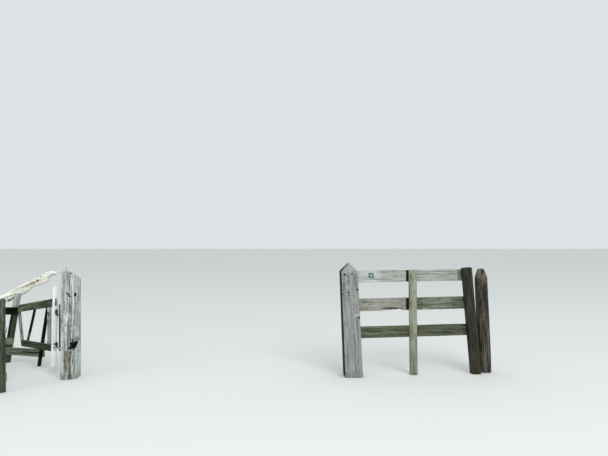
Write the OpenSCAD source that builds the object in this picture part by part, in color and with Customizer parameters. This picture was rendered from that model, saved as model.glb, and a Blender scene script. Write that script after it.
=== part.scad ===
// A derelict kissing gate with its gateposts: a sagging leaf hung on an old oak gatepost swings
// in a railed enclosure, beside the open way of a missing field gate and a post-and-rail fence.
// The origin is the centre of the old gatepost's foot. X runs along the fence line, Y away from
// the viewer and Z up.

/* [Old gatepost] */
// Width of the old gatepost along the fence line
old_post_w = 152; // [120:2:184]
// Depth of the old gatepost across the fence line
old_post_d = 206; // [160:2:250]
// Height of the old gatepost at its left edge
old_post_h = 1205; // [1040:5:1450]
// Fall of its rotted top from left to right
old_top_fall = 36; // [0:2:60]
// Fall of its rotted top from front to back
old_top_back_fall = 64; // [0:2:80]
// Diameter of the bolt hole where the field gate hung
bolt_hole_d = 20; // [14:1:30]
// Height of that bolt hole
bolt_hole_z = 940; // [700:5:1000]
// Height of the rot at its foot
rot_h = 370; // [200:5:400]
// Depth of the rot behind the front face, near the ground
rot_d = 38; // [20:1:60]
// Depth of the hollow at the top of the rot
hollow_d = 128; // [40:2:150]

/* [Pointed gatepost] */
// Clear way between the gateposts at the ground
gateway_w = 2990; // [2400:5:3600]
// Side of the pointed gatepost at the ground
pointed_w = 205; // [150:5:240]
// Loss of width from the ground up to its shoulders
pointed_taper = 14; // [0:1:30]
// Height of its shoulders
pointed_h = 1192; // [1100:2:1430]
// Rise of its two-way weathered top
pointed_rise = 92; // [40:2:140]
// Lean of the pointed gatepost to the left
pointed_lean = 2.6; // [0:0.1:4]
// Turn of the pointed gatepost toward the fence
pointed_turn = 3; // [0:0.5:8]
// Setback of the pointed gatepost behind the old one
pointed_back = 100; // [0:5:160]

/* [Fence] */
// Turn of the fence away from the fence line
fence_turn = 7.4; // [0:0.2:20]
// Length of the fence from gatepost to the far side of its end post
fence_l = 1318; // [1000:1:2000]
// Lean of the old round end post back toward the gatepost
old_end_lean = 2.6; // [0:0.1:4]
// Depth of the top and bottom rails
rail_h = 134; // [100:2:160]
// Depth of the middle rail
middle_rail_h = 141; // [100:1:170]
// Depth of the tear in the middle rail's lower edge
tear_d = 17; // [0:1:30]
// Length of that tear
tear_l = 225; // [100:5:300]
// Thickness of a fence rail
rail_t = 40; // [25:1:50]
// Height of the top rail's upper edge
top_rail_z = 1194; // [1150:2:1260]
// Step from one rail's upper edge down to the next
rail_step = 318; // [240:2:340]
// Width of the half-round middle post
half_round_w = 97; // [80:1:130]
// Height of the half-round middle post
half_round_h = 1202; // [1200:2:1400]
// Lean of the half-round middle post
half_round_lean = 0.7; // [0:0.1:4]
// Side of the square end post
end_post_w = 102; // [75:1:125]
// Lean of the square end post
end_post_lean = 5.2; // [0:0.1:6]
// Height of the square end post
end_post_h = 1228; // [1200:2:1400]
// Thickness of the old round end post
old_end_d = 150; // [90:2:180]
// Height of the old round end post
old_end_h = 1217; // [1000:5:1400]
// Height over which its rotted top narrows
old_end_crown = 110; // [40:5:200]
// Gap between the square end post and the old round one
old_end_gap = 78; // [40:2:300]

/* [Leaf] */
// Length of the leaf from its hinge line to the end of the top rail
leaf_l = 990; // [860:5:1010]
// Angle of the leaf from the fence line as it stands
leaf_turn = 41; // [30:1:50]
// Height of the heel stile's top
stile_top = 1020; // [940:5:1200]
// Height of the heel stile's foot above the ground
stile_foot = 70; // [40:2:150]
// Width of the heel stile along the leaf
stile_w = 36; // [30:1:80]
// Thickness of the heel stile through the leaf
stile_t = 56; // [44:1:70]
// Lean of the heel stile, its foot toward the free end
stile_lean = 3.4; // [0:0.1:4]
// Opening of the worn tenon joints at the heel stile
joint_gap = 20; // [0:1:40]
// Depth of the leaf's top rail
leaf_top_h = 90; // [70:1:110]
// Depth of the leaf's bottom rail
leaf_bottom_h = 76; // [60:1:100]
// Thickness of both leaf rails
leaf_rail_t = 32; // [24:1:38]
// Height of the top rail's centre at the heel stile
leaf_top_z = 850; // [800:5:900]
// Height of the bottom rail's centre at the heel stile
leaf_bottom_z = 330; // [280:5:400]
// Sag of the top rail
top_sag = 9.1; // [0:0.1:10]
// Sag of the bottom rail
bottom_sag = 3.1; // [0:0.1:5]
// Width of the free stile
free_stile_w = 46; // [36:1:60]
// Thickness of the free stile, brace and pale
slat_t = 26; // [18:1:30]
// Width of the brace
brace_w = 28; // [20:1:60]
// Width of the pale beside the heel stile
pale_w = 62; // [50:1:80]

/* [Hinges] */
// Gap between the old gatepost and the hinge line
hinge_gap = 84; // [80:1:120]
// Thickness of the hinge batten on the gatepost
batten_t = 50; // [30:1:52]
// Height of the lower hook
lower_hook_z = 341; // [330:1:400]
// Height of the upper hook
upper_hook_z = 704; // [600:1:740]
// Diameter of the hook pins
pin_d = 16; // [12:1:20]
// Clearance round each pin inside its eye
pin_gap = 1; // [0.5:0.1:2]
// Height of an eye
eye_h = 30; // [20:1:40]

/* [Enclosure] */
// Distance of the side rails from the hinge line
enclosure_w = 1480; // [1400:5:1700]
// Distance of the corner posts before and behind the fence line
enclosure_d = 740; // [700:5:900]
// Thickness of the enclosure's round posts
round_post_d = 90; // [76:1:100]
// Thickness of the far clapping post
clap_post_d = 46; // [40:1:60]
// Depth of an enclosure rail
side_rail_h = 96; // [70:1:110]
// Depth of the narrow upper rail at the near clapping post
near_rail_h = 64; // [50:1:100]
// Thickness of an enclosure rail
side_rail_t = 34; // [24:1:44]
// Height of the upper enclosure rails' centres
upper_rail_z = 650; // [560:5:680]
// Height of the lower enclosure rails' centres
lower_rail_z = 270; // [200:5:320]

/* [Pole and wire] */
// Thickness of the rough pole
pole_d = 96; // [70:1:110]
// Thickness of the tie wire
wire_d = 4; // [3:0.5:6]

/* [Hidden] */
$fn = 32;
big = 4000;
sunk = 300;
post_swell = 1.06;

// Places and derived sizes
hinge_x = -old_post_w / 2 - hinge_gap;
pointed_x = old_post_w / 2 + gateway_w + pointed_w / 2;
hook_shank = hinge_gap + 70;
eye_r = pin_d / 2 + pin_gap + 6;
collar_t = 5;
eye_lift = pin_d + collar_t + 1;
nut_d = 26;
heel_mid_z = (stile_top + stile_foot) / 2;
heel_gap = eye_r + 1.5 + max(0, upper_hook_z + eye_lift + eye_h - heel_mid_z) * tan(stile_lean);
rail_tenon_t = 14;
tenon_shoulder = 6;
end_slant = 64;

// Feet of the enclosure posts, and where each leans to at one metre up
far_clap = [-625, 588];
far_clap_lean = [151, 0];
near_clap = [-475, -588];
near_clap_lean = [0, 0];
rear_foot = [-1129, 800];
rear_lean = [169, 0];
near_foot = [-1155, -800];
near_lean = [60, 0];
corner_x = hinge_x - enclosure_w;
butt_gap = 6;
rear_corner_h = 745;
near_corner_h = 900;

// A point on a leaning post's centre line at height z
function on_post(foot, lean, z) = [foot[0] + lean[0] * z / 1000, foot[1] + lean[1] * z / 1000, z];

// Everything below the ground, cut from posts that are drawn past it
module below_ground() {
  translate([-big, -big, -2 * sunk]) cube([2.5 * big, 2 * big, 2 * sunk]);
}

// Places its children upright at the foot of a post that leans by so many millimetres a metre
module leaning(foot, lean) {
  translate([foot[0], foot[1], 0]) rotate([-atan(lean[1] / 1000), atan(lean[0] / 1000), 0]) children();
}

// A straight board on edge from one point to another
module board(from, to, t, h) {
  run = to - from;
  flat = norm([run[0], run[1]]);
  translate(from) rotate([0, -atan2(run[2], flat), atan2(run[1], run[0])])
    translate([0, -t / 2, -h / 2]) cube([norm(run), t, h]);
}

// A round bar from one point to another
module round_bar(from, to, d) {
  run = to - from;
  flat = norm([run[0], run[1]]);
  translate(from) rotate([0, 90 - atan2(run[2], flat), atan2(run[1], run[0])])
    cylinder(d = d, h = norm(run));
}

// The direction from one point to the next
function unit(v) = v / norm(v);

// The direction of a route at its point i, halfway between the stretches that meet there
function heading(p, i) =
  unit((i < len(p) - 1 ? unit(p[i + 1] - p[i]) : [0, 0, 0]) + (i > 0 ? unit(p[i] - p[i - 1]) : [0, 0, 0]));

// A ring of points round point i of a route, widened where the route bends sideways, lumpy by
// the share rough of its radius, and with a belly that hangs below it
function bar_ring(p, i, r, sides, rough, belly) =
  let (
    along = heading(p, i),
    side = unit(cross(along, [0, 0, 1])),
    up = cross(side, along),
    stretch = i < len(p) - 1 ? unit(p[i + 1] - p[i]) : unit(p[i] - p[i - 1]),
    mitre = 1 / (along * stretch)
  )
  [for (k = [0 : sides - 1])
    p[i] + r * (1 - rough * (1 + sin(k * 97 + i * 151)) / 2)
      * (cos(360 * k / sides) * side * mitre + sin(360 * k / sides) * up)
      + belly * min(0, sin(360 * k / sides)) * up];

// A bar swept along a route, with a radius, a roughness and a belly for each point
module swept_bar(p, radii, rough, belly, sides) {
  rings = len(p);
  polyhedron(
    points = [for (i = [0 : rings - 1]) each bar_ring(p, i, radii[i], sides, rough[i], belly[i])],
    faces = [
      [for (k = [0 : sides - 1]) k],
      [for (k = [sides - 1 : -1 : 0]) (rings - 1) * sides + k],
      for (i = [0 : rings - 2], k = [0 : sides - 1])
        each let (a = i * sides + k, b = i * sides + (k + 1) % sides)
        [[a, a + sides, b], [b, a + sides, b + sides]]
    ]
  );
}

// Wire of thickness d along a route
module swept_wire(p, d) {
  none = [for (q = p) 0];
  swept_bar(p, [for (q = p) d / 2], none, none, 8);
}

// OLD GATEPOST
module old_gate_post() {
  w = old_post_w;
  color([0.62, 0.66, 0.60])
    difference() {
      translate([0, old_post_d / 2, 0]) rotate([90, 0, 0]) linear_extrude(old_post_d)
        polygon([
          [-w / 2, 0], [w / 2, 0], [w / 2, old_post_h], [w * 0.3, old_post_h], [-w / 2, old_post_h - 4]
        ]);
      top_slope(0);
      top_slope(atan(old_top_fall / (w * 0.31)));
      foot_rot();
      strap_notch();
      translate([-w, -old_post_d * 0.28, bolt_hole_z]) rotate([0, 90, 0])
        cylinder(d = bolt_hole_d, h = 2 * w);
      hook_shanks();
    }
}

// A weathered slope that falls from the front of the gatepost's top to its back, and to the
// right by the angle side
module top_slope(side) {
  back = atan(old_top_back_fall / old_post_d * cos(side));
  translate([old_post_w * 0.19, -old_post_d / 2, old_post_h]) rotate([-back, side, 0])
    translate([-2 * old_post_w, -old_post_d, 0]) cube([4 * old_post_w, 3 * old_post_d, 300]);
}

// Rot that has eaten the front right corner of the foot: a ragged outline on the front face
// crossed with one on the right face, where it opens into a deep hollow at the top
module foot_rot() {
  w = old_post_w;
  front = -old_post_d / 2;
  intersection() {
    translate([0, old_post_d, 0]) rotate([90, 0, 0]) linear_extrude(2 * old_post_d)
      polygon([
        [w * 0.07, -1], [w * 0.10, rot_h * 0.4], [w * 0.05, rot_h * 0.62], [w * 0.12, rot_h * 0.8],
        [w * 0.10, rot_h * 0.97], [w * 0.25, rot_h * 1.02], [w * 0.34, rot_h * 1.1],
        [w, rot_h * 1.13], [w, -1]
      ]);
    translate([-w, 0, 0]) rotate([90, 0, 90]) linear_extrude(3 * w)
      polygon([
        [front - 9, -1], [front + rot_d * 0.9, -1], [front + rot_d, rot_h * 0.45],
        [front + rot_d * 0.8, rot_h * 0.85], [front + hollow_d * 0.7, rot_h * 0.96],
        [front + hollow_d, rot_h * 1.06], [front + hollow_d * 0.92, rot_h * 1.14],
        [front + hollow_d * 0.4, rot_h * 1.15], [front - 9, rot_h * 1.04]
      ]);
  }
}

// The slanting notch in the front face where a hinge strap was let in
module strap_notch() {
  translate([12, -old_post_d / 2, bolt_hole_z]) rotate([0, 48, 0])
    translate([-33, -1, -6]) cube([66, 23, 12]);
}

// HINGES
module hinge_batten() {
  foot = lower_hook_z - 36;
  color([0.52, 0.62, 0.50])
    difference() {
      translate([-old_post_w / 2 - batten_t, -34, foot])
        cube([batten_t, 68, upper_hook_z + 120 - foot]);
      hook_shanks();
    }
}

module hook_shanks() {
  for (z = [lower_hook_z, upper_hook_z])
    translate([hinge_x, 0, z]) rotate([0, 90, 0]) cylinder(d = pin_d, h = hook_shank);
}

// A gate hook: a shank driven into the post, bent up into the pin, with a collar for the eye
module hook(z) {
  color([0.30, 0.24, 0.20])
    translate([hinge_x, 0, z]) {
      translate([pin_d, 0, 0]) rotate([0, 90, 0]) cylinder(d = pin_d, h = hook_shank - pin_d);
      translate([pin_d, 0, pin_d]) rotate([90, 0, 0]) rotate([0, 0, 180]) rotate_extrude(angle = 90)
        translate([pin_d, 0]) circle(d = pin_d);
      translate([0, 0, pin_d]) cylinder(d = pin_d + 12, h = collar_t);
      translate([0, 0, pin_d]) cylinder(d = pin_d, h = collar_t + eye_h + 9);
    }
}

module upper_hook() { hook(upper_hook_z); }

module lower_hook() { hook(lower_hook_z); }

// LEAF
// Inside, x runs along the leaf from the hinge line, y through it and z up
module in_leaf() {
  translate([hinge_x, 0, 0]) rotate([0, 0, 180 - leaf_turn]) children();
}

// Distance from the hinge line to the near face of the heel stile at height z
function heel_face(z) = heel_gap + (heel_mid_z - z) * tan(stile_lean);

// Height of a sagging rail's centre at distance x along the leaf
function sagged(z, sag, x) = z - x * tan(sag);

module heel_blank() {
  translate([heel_face(heel_mid_z), 0, heel_mid_z]) rotate([0, -stile_lean, 0])
    translate([0, -stile_t / 2, -(stile_top - stile_foot) / 2])
      cube([stile_w, stile_t, stile_top - stile_foot]);
}

// How far a rail's shoulder stands off the stile: the worn joint's gap, and room for both slopes
function shoulder_gap(sag, h) = joint_gap + 1 + (h / 2) * tan(sag + stile_lean);

// A rail from the heel stile to distance to_x, with a tenon right through the stile
module leaf_rail(z, sag, h, to_x) {
  heel_x = heel_face(z);
  shoulder_x = heel_x + stile_w + shoulder_gap(sag, h);
  translate([0, 0, z]) rotate([0, sag, 0]) {
    translate([shoulder_x, -leaf_rail_t / 2, -h / 2]) cube([to_x - shoulder_x, leaf_rail_t, h]);
    translate([heel_x - 2, -rail_tenon_t / 2, -h / 2 + tenon_shoulder])
      cube([shoulder_x - heel_x + 3, rail_tenon_t, h - 2 * tenon_shoulder]);
  }
}

module leaf_top_rail_shape() {
  difference() {
    leaf_rail(leaf_top_z, top_sag, leaf_top_h, leaf_l / cos(top_sag));
    slanted_end();
  }
}

// The top rail's free end is split away on a slant, longest at its lower edge
module slanted_end() {
  translate([0, leaf_rail_t, leaf_top_z]) rotate([90, top_sag, 0]) linear_extrude(2 * leaf_rail_t)
    polygon([
      [leaf_l + 30, -leaf_top_h / 2], [leaf_l + 30, leaf_top_h], [leaf_l - end_slant, leaf_top_h / 2 + 1],
      [leaf_l - end_slant * 0.4, 0]
    ]);
}

module leaf_bottom_rail_shape() {
  leaf_rail(leaf_bottom_z, bottom_sag, leaf_bottom_h, free_foot_x() + 8);
}

// The free stile hangs from the low end of the sagging top rail and leans in at its foot
free_lean = 13.2;
free_l = 400;
free_x = leaf_l - 24;
free_head = [free_x, 0, sagged(leaf_top_z, top_sag, free_x) - leaf_top_h / 4];
function free_foot_x() = free_x - sin(free_lean) * (free_head[2] - leaf_bottom_z + 50);

module free_stile_shape() {
  translate(free_head) rotate([0, 180 + free_lean, 0])
    translate([-free_stile_w / 2, -slat_t / 2, 0]) cube([free_stile_w, slat_t, free_l]);
}

module heel_stile() {
  color([0.84, 0.86, 0.88])
    in_leaf() difference() {
      heel_blank();
      leaf_top_rail_shape();
      leaf_bottom_rail_shape();
      eye_bolts();
    }
}

module leaf_top_rail() {
  color([0.36, 0.36, 0.28])
    in_leaf() difference() {
      leaf_top_rail_shape();
      free_stile_shape();
      brace_shape();
      pale_shape();
      nut_room();
    }
}

module leaf_bottom_rail() {
  color([0.38, 0.38, 0.30])
    in_leaf() difference() {
      leaf_bottom_rail_shape();
      free_stile_shape();
      brace_shape();
      pale_shape();
      nut_room();
    }
}

module free_stile() {
  color([0.60, 0.66, 0.56]) in_leaf() free_stile_shape();
}

// The thin brace leans across the leaf, let into both rails
module brace_shape() {
  head = [530, 0, sagged(leaf_top_z, top_sag, 530) - 30];
  foot = [735, 0, sagged(leaf_bottom_z, bottom_sag, 735) + 24];
  lean = atan2(foot[0] - head[0], head[2] - foot[2]);
  translate(head) rotate([0, 180 - lean, 0])
    translate([-brace_w / 2, -slat_t / 2, 0]) cube([brace_w, slat_t, norm(foot - head)]);
}

module leaf_brace() {
  color([0.20, 0.18, 0.12]) in_leaf() brace_shape();
}

module pale_shape() {
  foot_z = sagged(leaf_bottom_z, bottom_sag, 176) + 20;
  head_z = sagged(leaf_top_z, top_sag, 176) - 30;
  translate([176 - pale_w / 2, -slat_t / 2, foot_z]) cube([pale_w, slat_t, head_z - foot_z]);
}

module leaf_pale() {
  color([0.74, 0.78, 0.78]) in_leaf() pale_shape();
}

// Height of the middle of the eye that hangs on the hook at height z
function eye_mid(z) = z + eye_lift + eye_h / 2;

// An eye on a bolt that passes right through the stile to a nut on its far side
module eye_bolt(z) {
  mid = eye_mid(z);
  far_face = heel_face(z) + stile_w;
  difference() {
    union() {
      translate([0, 0, mid - eye_h / 2]) cylinder(r = eye_r, h = eye_h);
      translate([0, 0, mid]) rotate([0, 90, 0]) cylinder(d = 14, h = far_face + 16);
      translate([far_face, 0, mid]) rotate([0, 90, 0]) cylinder(d = nut_d, h = 10, $fn = 6);
    }
    translate([0, 0, mid - eye_h]) cylinder(r = pin_d / 2 + pin_gap, h = 2 * eye_h);
  }
}

module eye_bolts() {
  for (z = [lower_hook_z, upper_hook_z])
    translate([0, 0, eye_mid(z)]) rotate([0, 90, 0]) cylinder(d = 14, h = 200);
}

// Room round the nuts, cut from the rails where a rail comes that near
module nut_room() {
  for (z = [lower_hook_z, upper_hook_z])
    translate([0, 0, eye_mid(z)]) rotate([0, 90, 0]) cylinder(d = nut_d + 3, h = heel_face(z) + stile_w + 20);
}

module upper_eye() { color([0.32, 0.26, 0.22]) in_leaf() eye_bolt(upper_hook_z); }

module lower_eye() { color([0.32, 0.26, 0.22]) in_leaf() eye_bolt(lower_hook_z); }

// WIRE
module tie_wire() {
  r = wire_d / 2;
  x = old_post_w / 2 + r;
  y = old_post_d / 2 + r;
  color([0.62, 0.66, 0.62])
    swept_wire([
      [-x - 30, -60, 352], [-x, -y, 352], [-x + 50, -y, 336], [x, -y, 318],
      [x, y, 285], [-x, y, 330], [-x, 60, 346]
    ], wire_d);
}

module leaf_wire() {
  near = heel_face(372);
  on_stile = (stile_t + wire_d) / 2;
  on_pale = (slat_t + wire_d) / 2;
  color([0.62, 0.66, 0.62])
    in_leaf() swept_wire([
      [near + 8, on_stile, 372], [near + stile_w + 4, on_stile, 370],
      [176 - pale_w / 2, on_pale, 374], [176 + pale_w / 2 + 6, on_pale, 376], [331, 3, 392]
    ], wire_d);
}

// The crooked pole lies in beds cut in the backs of the rear corner post and the rear post.
// Each point has the pole's place, its thickness and roughness as shares, and the drop of the
// torn fork below it
pole_back = rear_foot[1] + pole_d / 2;
corner_back = enclosure_d + pole_d / 2;
corner_bed = [[corner_x - 70, corner_back, 648], [corner_x + 70, corner_back, 684]];
rear_bed = [[-1052, pole_back, 861], [-930, pole_back, 926]];
pole_points = [
  [corner_bed[0] - [120, 0, 30], 0.82, 0.30, 0], [corner_bed[0] - [96, 0, 24], 1.06, 0.14, 0],
  [corner_bed[0], 1, 0, 0], [corner_bed[1], 1, 0, 0],
  [[-1450, 808, 722], 1.08, 0.14, 0], [[-1330, 824, 752], 1.02, 0.16, 0], [[-1220, 838, 784], 1.10, 0.12, 0],
  [[-1165, 844, 803], 1.14, 0.16, 0], [[-1105, 847, 829], 1.12, 0.12, 0],
  [rear_bed[0], 1, 0, 0], [rear_bed[1], 1, 0, 0],
  [[-885, pole_back, 955], 1.04, 0.10, 0], [[-830, pole_back, 981], 0.98, 0.14, 0],
  [[-778, pole_back, 1003], 1.00, 0.14, 0], [[-728, pole_back, 1024], 1.03, 0.12, 12],
  [[-690, pole_back, 1048], 0.98, 0.14, 22], [[-655, pole_back, 1074], 0.88, 0.12, 40],
  [[-628, pole_back, 1092], 0.79, 0.10, 58], [[-612, pole_back, 1101], 0.72, 0.08, 52],
  [[-600, pole_back, 1106], 0.66, 0.08, 8], [[-567, pole_back, 1115], 0.53, 0.06, 0],
  [[-540, pole_back, 1117], 0.38, 0.05, 0], [[-510, pole_back, 1110], 0.10, 0, 0]
];

// ENCLOSURE
// A round post, thinner toward its top, which is cut on a slant that falls to the left
module round_post(foot, lean, h, d, slant = 8) {
  difference() {
    leaning(foot, lean) difference() {
      translate([0, 0, -sunk]) cylinder(d1 = d * post_swell, d2 = d / post_swell, h = h + sunk);
      translate([d / 2, 0, h]) rotate([0, -slant, 0]) translate([-2 * d, -d, 0]) cube([3 * d, 2 * d, d]);
    }
    below_ground();
  }
}

// A rail from one post to the next at height z, let into their faces, that runs on past the
// middle of the first by over_a and of the second by over_b
module rail_between(a, b, z, over_a, over_b, h = side_rail_h) {
  dir = unit(b(z) - a(z));
  board(a(z) - dir * over_a, b(z) + dir * over_b, side_rail_t, h);
}

// Where each rail's centre crosses its posts at height z
far_clap_at = function (z) on_post(far_clap, far_clap_lean, z) + [0, (clap_post_d + side_rail_t) / 2 - 10, 0];
near_clap_at = function (z) on_post(near_clap, near_clap_lean, z);
rear_at = function (z) on_post(rear_foot, rear_lean, z) - [0, round_post_d / 2 - 8, 0];
near_at = function (z) on_post(near_foot, near_lean, z) + [0, round_post_d / 2 - 8, 0];
rear_corner_at = function (z) [corner_x, enclosure_d - round_post_d / 2 + 8, z];
near_corner_at = function (z) [corner_x, -enclosure_d + round_post_d / 2 - 8, z];
side_rear_at = function (z) [corner_x + round_post_d / 2 - 8, enclosure_d, z];
side_near_at = function (z) [corner_x + round_post_d / 2 - 8, -enclosure_d, z];

module far_lower_rail_shape() { rail_between(far_clap_at, rear_at, lower_rail_z - 120, 30, 40); }

module rear_upper_rail_shape() { rail_between(rear_at, rear_corner_at, upper_rail_z, 70, 50); }

module rear_lower_rail_shape() { rail_between(rear_at, rear_corner_at, lower_rail_z, 50, 50); }

module side_rail(z) { rail_between(side_rear_at, side_near_at, z - side_rail_h - 2, 50, 50); }

module side_upper_rail_shape() { side_rail(upper_rail_z); }

module side_lower_rail_shape() { side_rail(lower_rail_z); }

module corner_upper_rail_shape() { rail_between(near_at, near_corner_at, upper_rail_z, -butt_gap, 50); }

module corner_lower_rail_shape() { rail_between(near_at, near_corner_at, lower_rail_z, 50, 50); }

module near_upper_rail_shape() {
  rail_between(near_clap_at, near_at, upper_rail_z - 20, 50, -butt_gap, near_rail_h);
}

module near_lower_rail_shape() { rail_between(near_clap_at, near_at, lower_rail_z - 120, 50, 40); }

module far_clapping_post() {
  color([0.17, 0.14, 0.10]) difference() {
    round_post(far_clap, far_clap_lean, 770, clap_post_d);
    far_lower_rail_shape();
  }
}

module rear_post() {
  color([0.55, 0.62, 0.58]) difference() {
    round_post(rear_foot, rear_lean, 892, round_post_d, 20);
    far_lower_rail_shape();
    rear_upper_rail_shape();
    rear_lower_rail_shape();
    pole_housing(rear_bed);
  }
}

module rear_corner_post() {
  color([0.45, 0.46, 0.40]) difference() {
    round_post([corner_x, enclosure_d], [0, 0], rear_corner_h, round_post_d);
    rear_upper_rail_shape();
    rear_lower_rail_shape();
    side_upper_rail_shape();
    side_lower_rail_shape();
    pole_housing(corner_bed);
  }
}

module near_corner_post() {
  color([0.45, 0.46, 0.40]) difference() {
    round_post([corner_x, -enclosure_d], [0, 0], near_corner_h, round_post_d);
    corner_upper_rail_shape();
    corner_lower_rail_shape();
    side_upper_rail_shape();
    side_lower_rail_shape();
  }
}

module near_post() {
  color([0.45, 0.46, 0.40]) difference() {
    round_post(near_foot, near_lean, 880, round_post_d);
    corner_upper_rail_shape();
    corner_lower_rail_shape();
    near_upper_rail_shape();
    near_lower_rail_shape();
  }
}

module near_clapping_post() {
  color([0.30, 0.32, 0.29]) difference() {
    round_post(near_clap, near_clap_lean, 953, round_post_d);
    near_upper_rail_shape();
    near_lower_rail_shape();
  }
}

module far_lower_rail() { color([0.40, 0.38, 0.30]) far_lower_rail_shape(); }

module rear_upper_rail() { color([0.20, 0.18, 0.14]) rear_upper_rail_shape(); }

module rear_lower_rail() { color([0.40, 0.38, 0.30]) rear_lower_rail_shape(); }

module side_upper_rail() { color([0.45, 0.45, 0.38]) side_upper_rail_shape(); }

module side_lower_rail() { color([0.45, 0.45, 0.38]) side_lower_rail_shape(); }

module corner_upper_rail() { color([0.45, 0.45, 0.38]) corner_upper_rail_shape(); }

module corner_lower_rail() { color([0.45, 0.45, 0.38]) corner_lower_rail_shape(); }

module near_upper_rail() { color([0.62, 0.64, 0.56]) near_upper_rail_shape(); }

module near_lower_rail() { color([0.45, 0.45, 0.38]) near_lower_rail_shape(); }

module pole_shape() {
  swept_bar(
    [for (q = pole_points) q[0]], [for (q = pole_points) q[1] * pole_d / 2],
    [for (q = pole_points) q[2]], [for (q = pole_points) q[3]], 16
  );
}

// The round bed in which the pole lies on a post
module pole_housing(bed) {
  reach = 60 * unit(bed[1] - bed[0]);
  round_bar(bed[0] - reach, bed[1] + reach, pole_d);
}

module rough_pole() { color([0.85, 0.85, 0.78]) pole_shape(); }

// POINTED GATEPOST
module pointed_gate_post() {
  w = pointed_w;
  top = pointed_w - pointed_taper;
  color([0.60, 0.64, 0.62])
    difference() {
      leaning([pointed_x, pointed_back], [-tan(pointed_lean) * 1000, 0]) rotate([0, 0, pointed_turn])
        translate([0, w / 2, -sunk]) rotate([90, 0, 0]) linear_extrude(w)
          polygon([
            [-w / 2, 0], [w / 2, 0], [w / 2, sunk], [top / 2, pointed_h + sunk],
            [0, pointed_h + pointed_rise + sunk], [-top / 2, pointed_h + sunk], [-w / 2, sunk]
          ]);
      below_ground();
      for (i = [0 : 2]) fence_rail_shape(i);
    }
}

// FENCE
// Inside, x runs along the fence from the pointed gatepost's right side, and y away from the viewer
module in_fence() {
  translate([pointed_x + pointed_w / 2 - tan(pointed_lean) * top_rail_z, pointed_back, 0])
    rotate([0, 0, fence_turn]) children();
}

// A post whose top is at distance x along the fence, leaning back toward the gatepost
module fence_leaning(x, h, lean) {
  difference() {
    translate([x + tan(lean) * h, 0, 0]) rotate([0, -lean, 0]) children();
    translate([-big / 2, -big / 2, -2 * sunk]) cube([big, big, 2 * sunk]);
  }
}

function fence_rail_h(i) = i == 1 ? middle_rail_h : rail_h;

module fence_rail_shape(i) {
  z = top_rail_z - i * rail_step - fence_rail_h(i) / 2;
  end_x = fence_l - 24 + tan(end_post_lean) * (end_post_h - z);
  in_fence() board([-60, 0, z], [end_x, 0, z + 9], rail_t, fence_rail_h(i));
}

// The tear in the middle rail's lower edge, shallow at its start and deepest before its end
module rail_tear() {
  z = top_rail_z - rail_step - middle_rail_h;
  l = tear_l;
  in_fence() translate([297, rail_t, z]) rotate([90, 0, 0]) linear_extrude(2 * rail_t)
    polygon([
      [0, -9], [l * 0.05, tear_d * 0.3], [l * 0.3, tear_d * 0.45], [l * 0.52, tear_d * 0.8],
      [l * 0.66, tear_d * 0.75], [l * 0.84, tear_d * 1.1], [l * 0.95, tear_d * 0.85],
      [l, tear_d * 0.2], [l * 1.02, -9]
    ]);
}

module fence_top_rail() { color([0.66, 0.72, 0.70]) fence_rail_shape(0); }

module fence_middle_rail() {
  color([0.56, 0.60, 0.55]) difference() {
    fence_rail_shape(1);
    rail_tear();
  }
}

module fence_bottom_rail() { color([0.50, 0.53, 0.48]) fence_rail_shape(2); }

module half_round_post() {
  color([0.57, 0.61, 0.52])
    in_fence() fence_leaning(fence_l / 2 - 19, half_round_h, half_round_lean)
      translate([0, -rail_t / 2, -sunk]) intersection() {
        cylinder(d = half_round_w, h = half_round_h + sunk);
        translate([-half_round_w, -half_round_w, -1])
          cube([2 * half_round_w, half_round_w, half_round_h + sunk + 2]);
      }
}

module fence_end_post() {
  color([0.20, 0.22, 0.18])
    in_fence() fence_leaning(fence_l - end_post_w / 2, end_post_h, end_post_lean)
      translate([-end_post_w / 2, -rail_t / 2 - end_post_w, -sunk])
        cube([end_post_w, end_post_w, end_post_h + sunk]);
}

module old_end_post() {
  color([0.42, 0.40, 0.34])
    in_fence() fence_leaning(fence_l + old_end_gap + old_end_d / 2, old_end_h, old_end_lean) {
      translate([0, 0, -sunk]) cylinder(d = old_end_d, h = old_end_h - old_end_crown + sunk);
      translate([0, 0, old_end_h - old_end_crown])
        cylinder(d1 = old_end_d, d2 = old_end_d / 2, h = old_end_crown);
    }
}

old_gate_post();
hinge_batten();
upper_hook();
lower_hook();
tie_wire();
heel_stile();
leaf_top_rail();
leaf_bottom_rail();
free_stile();
leaf_brace();
leaf_pale();
upper_eye();
lower_eye();
leaf_wire();
far_clapping_post();
rear_post();
rear_corner_post();
near_corner_post();
near_post();
near_clapping_post();
far_lower_rail();
rear_upper_rail();
rear_lower_rail();
side_upper_rail();
side_lower_rail();
corner_upper_rail();
corner_lower_rail();
near_upper_rail();
near_lower_rail();
rough_pole();
pointed_gate_post();
fence_top_rail();
fence_middle_rail();
fence_bottom_rail();
half_round_post();
fence_end_post();
old_end_post();
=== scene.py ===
"""A derelict kissing gate with its gateposts: weathered timber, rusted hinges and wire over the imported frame."""

import logging
import math
from dataclasses import dataclass
from enum import Enum
from typing import Callable, Iterable, Optional, Sequence, Union

import bmesh
import bpy
import numpy as np
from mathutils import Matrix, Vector, noise
from mathutils.bvhtree import BVHTree

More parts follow.
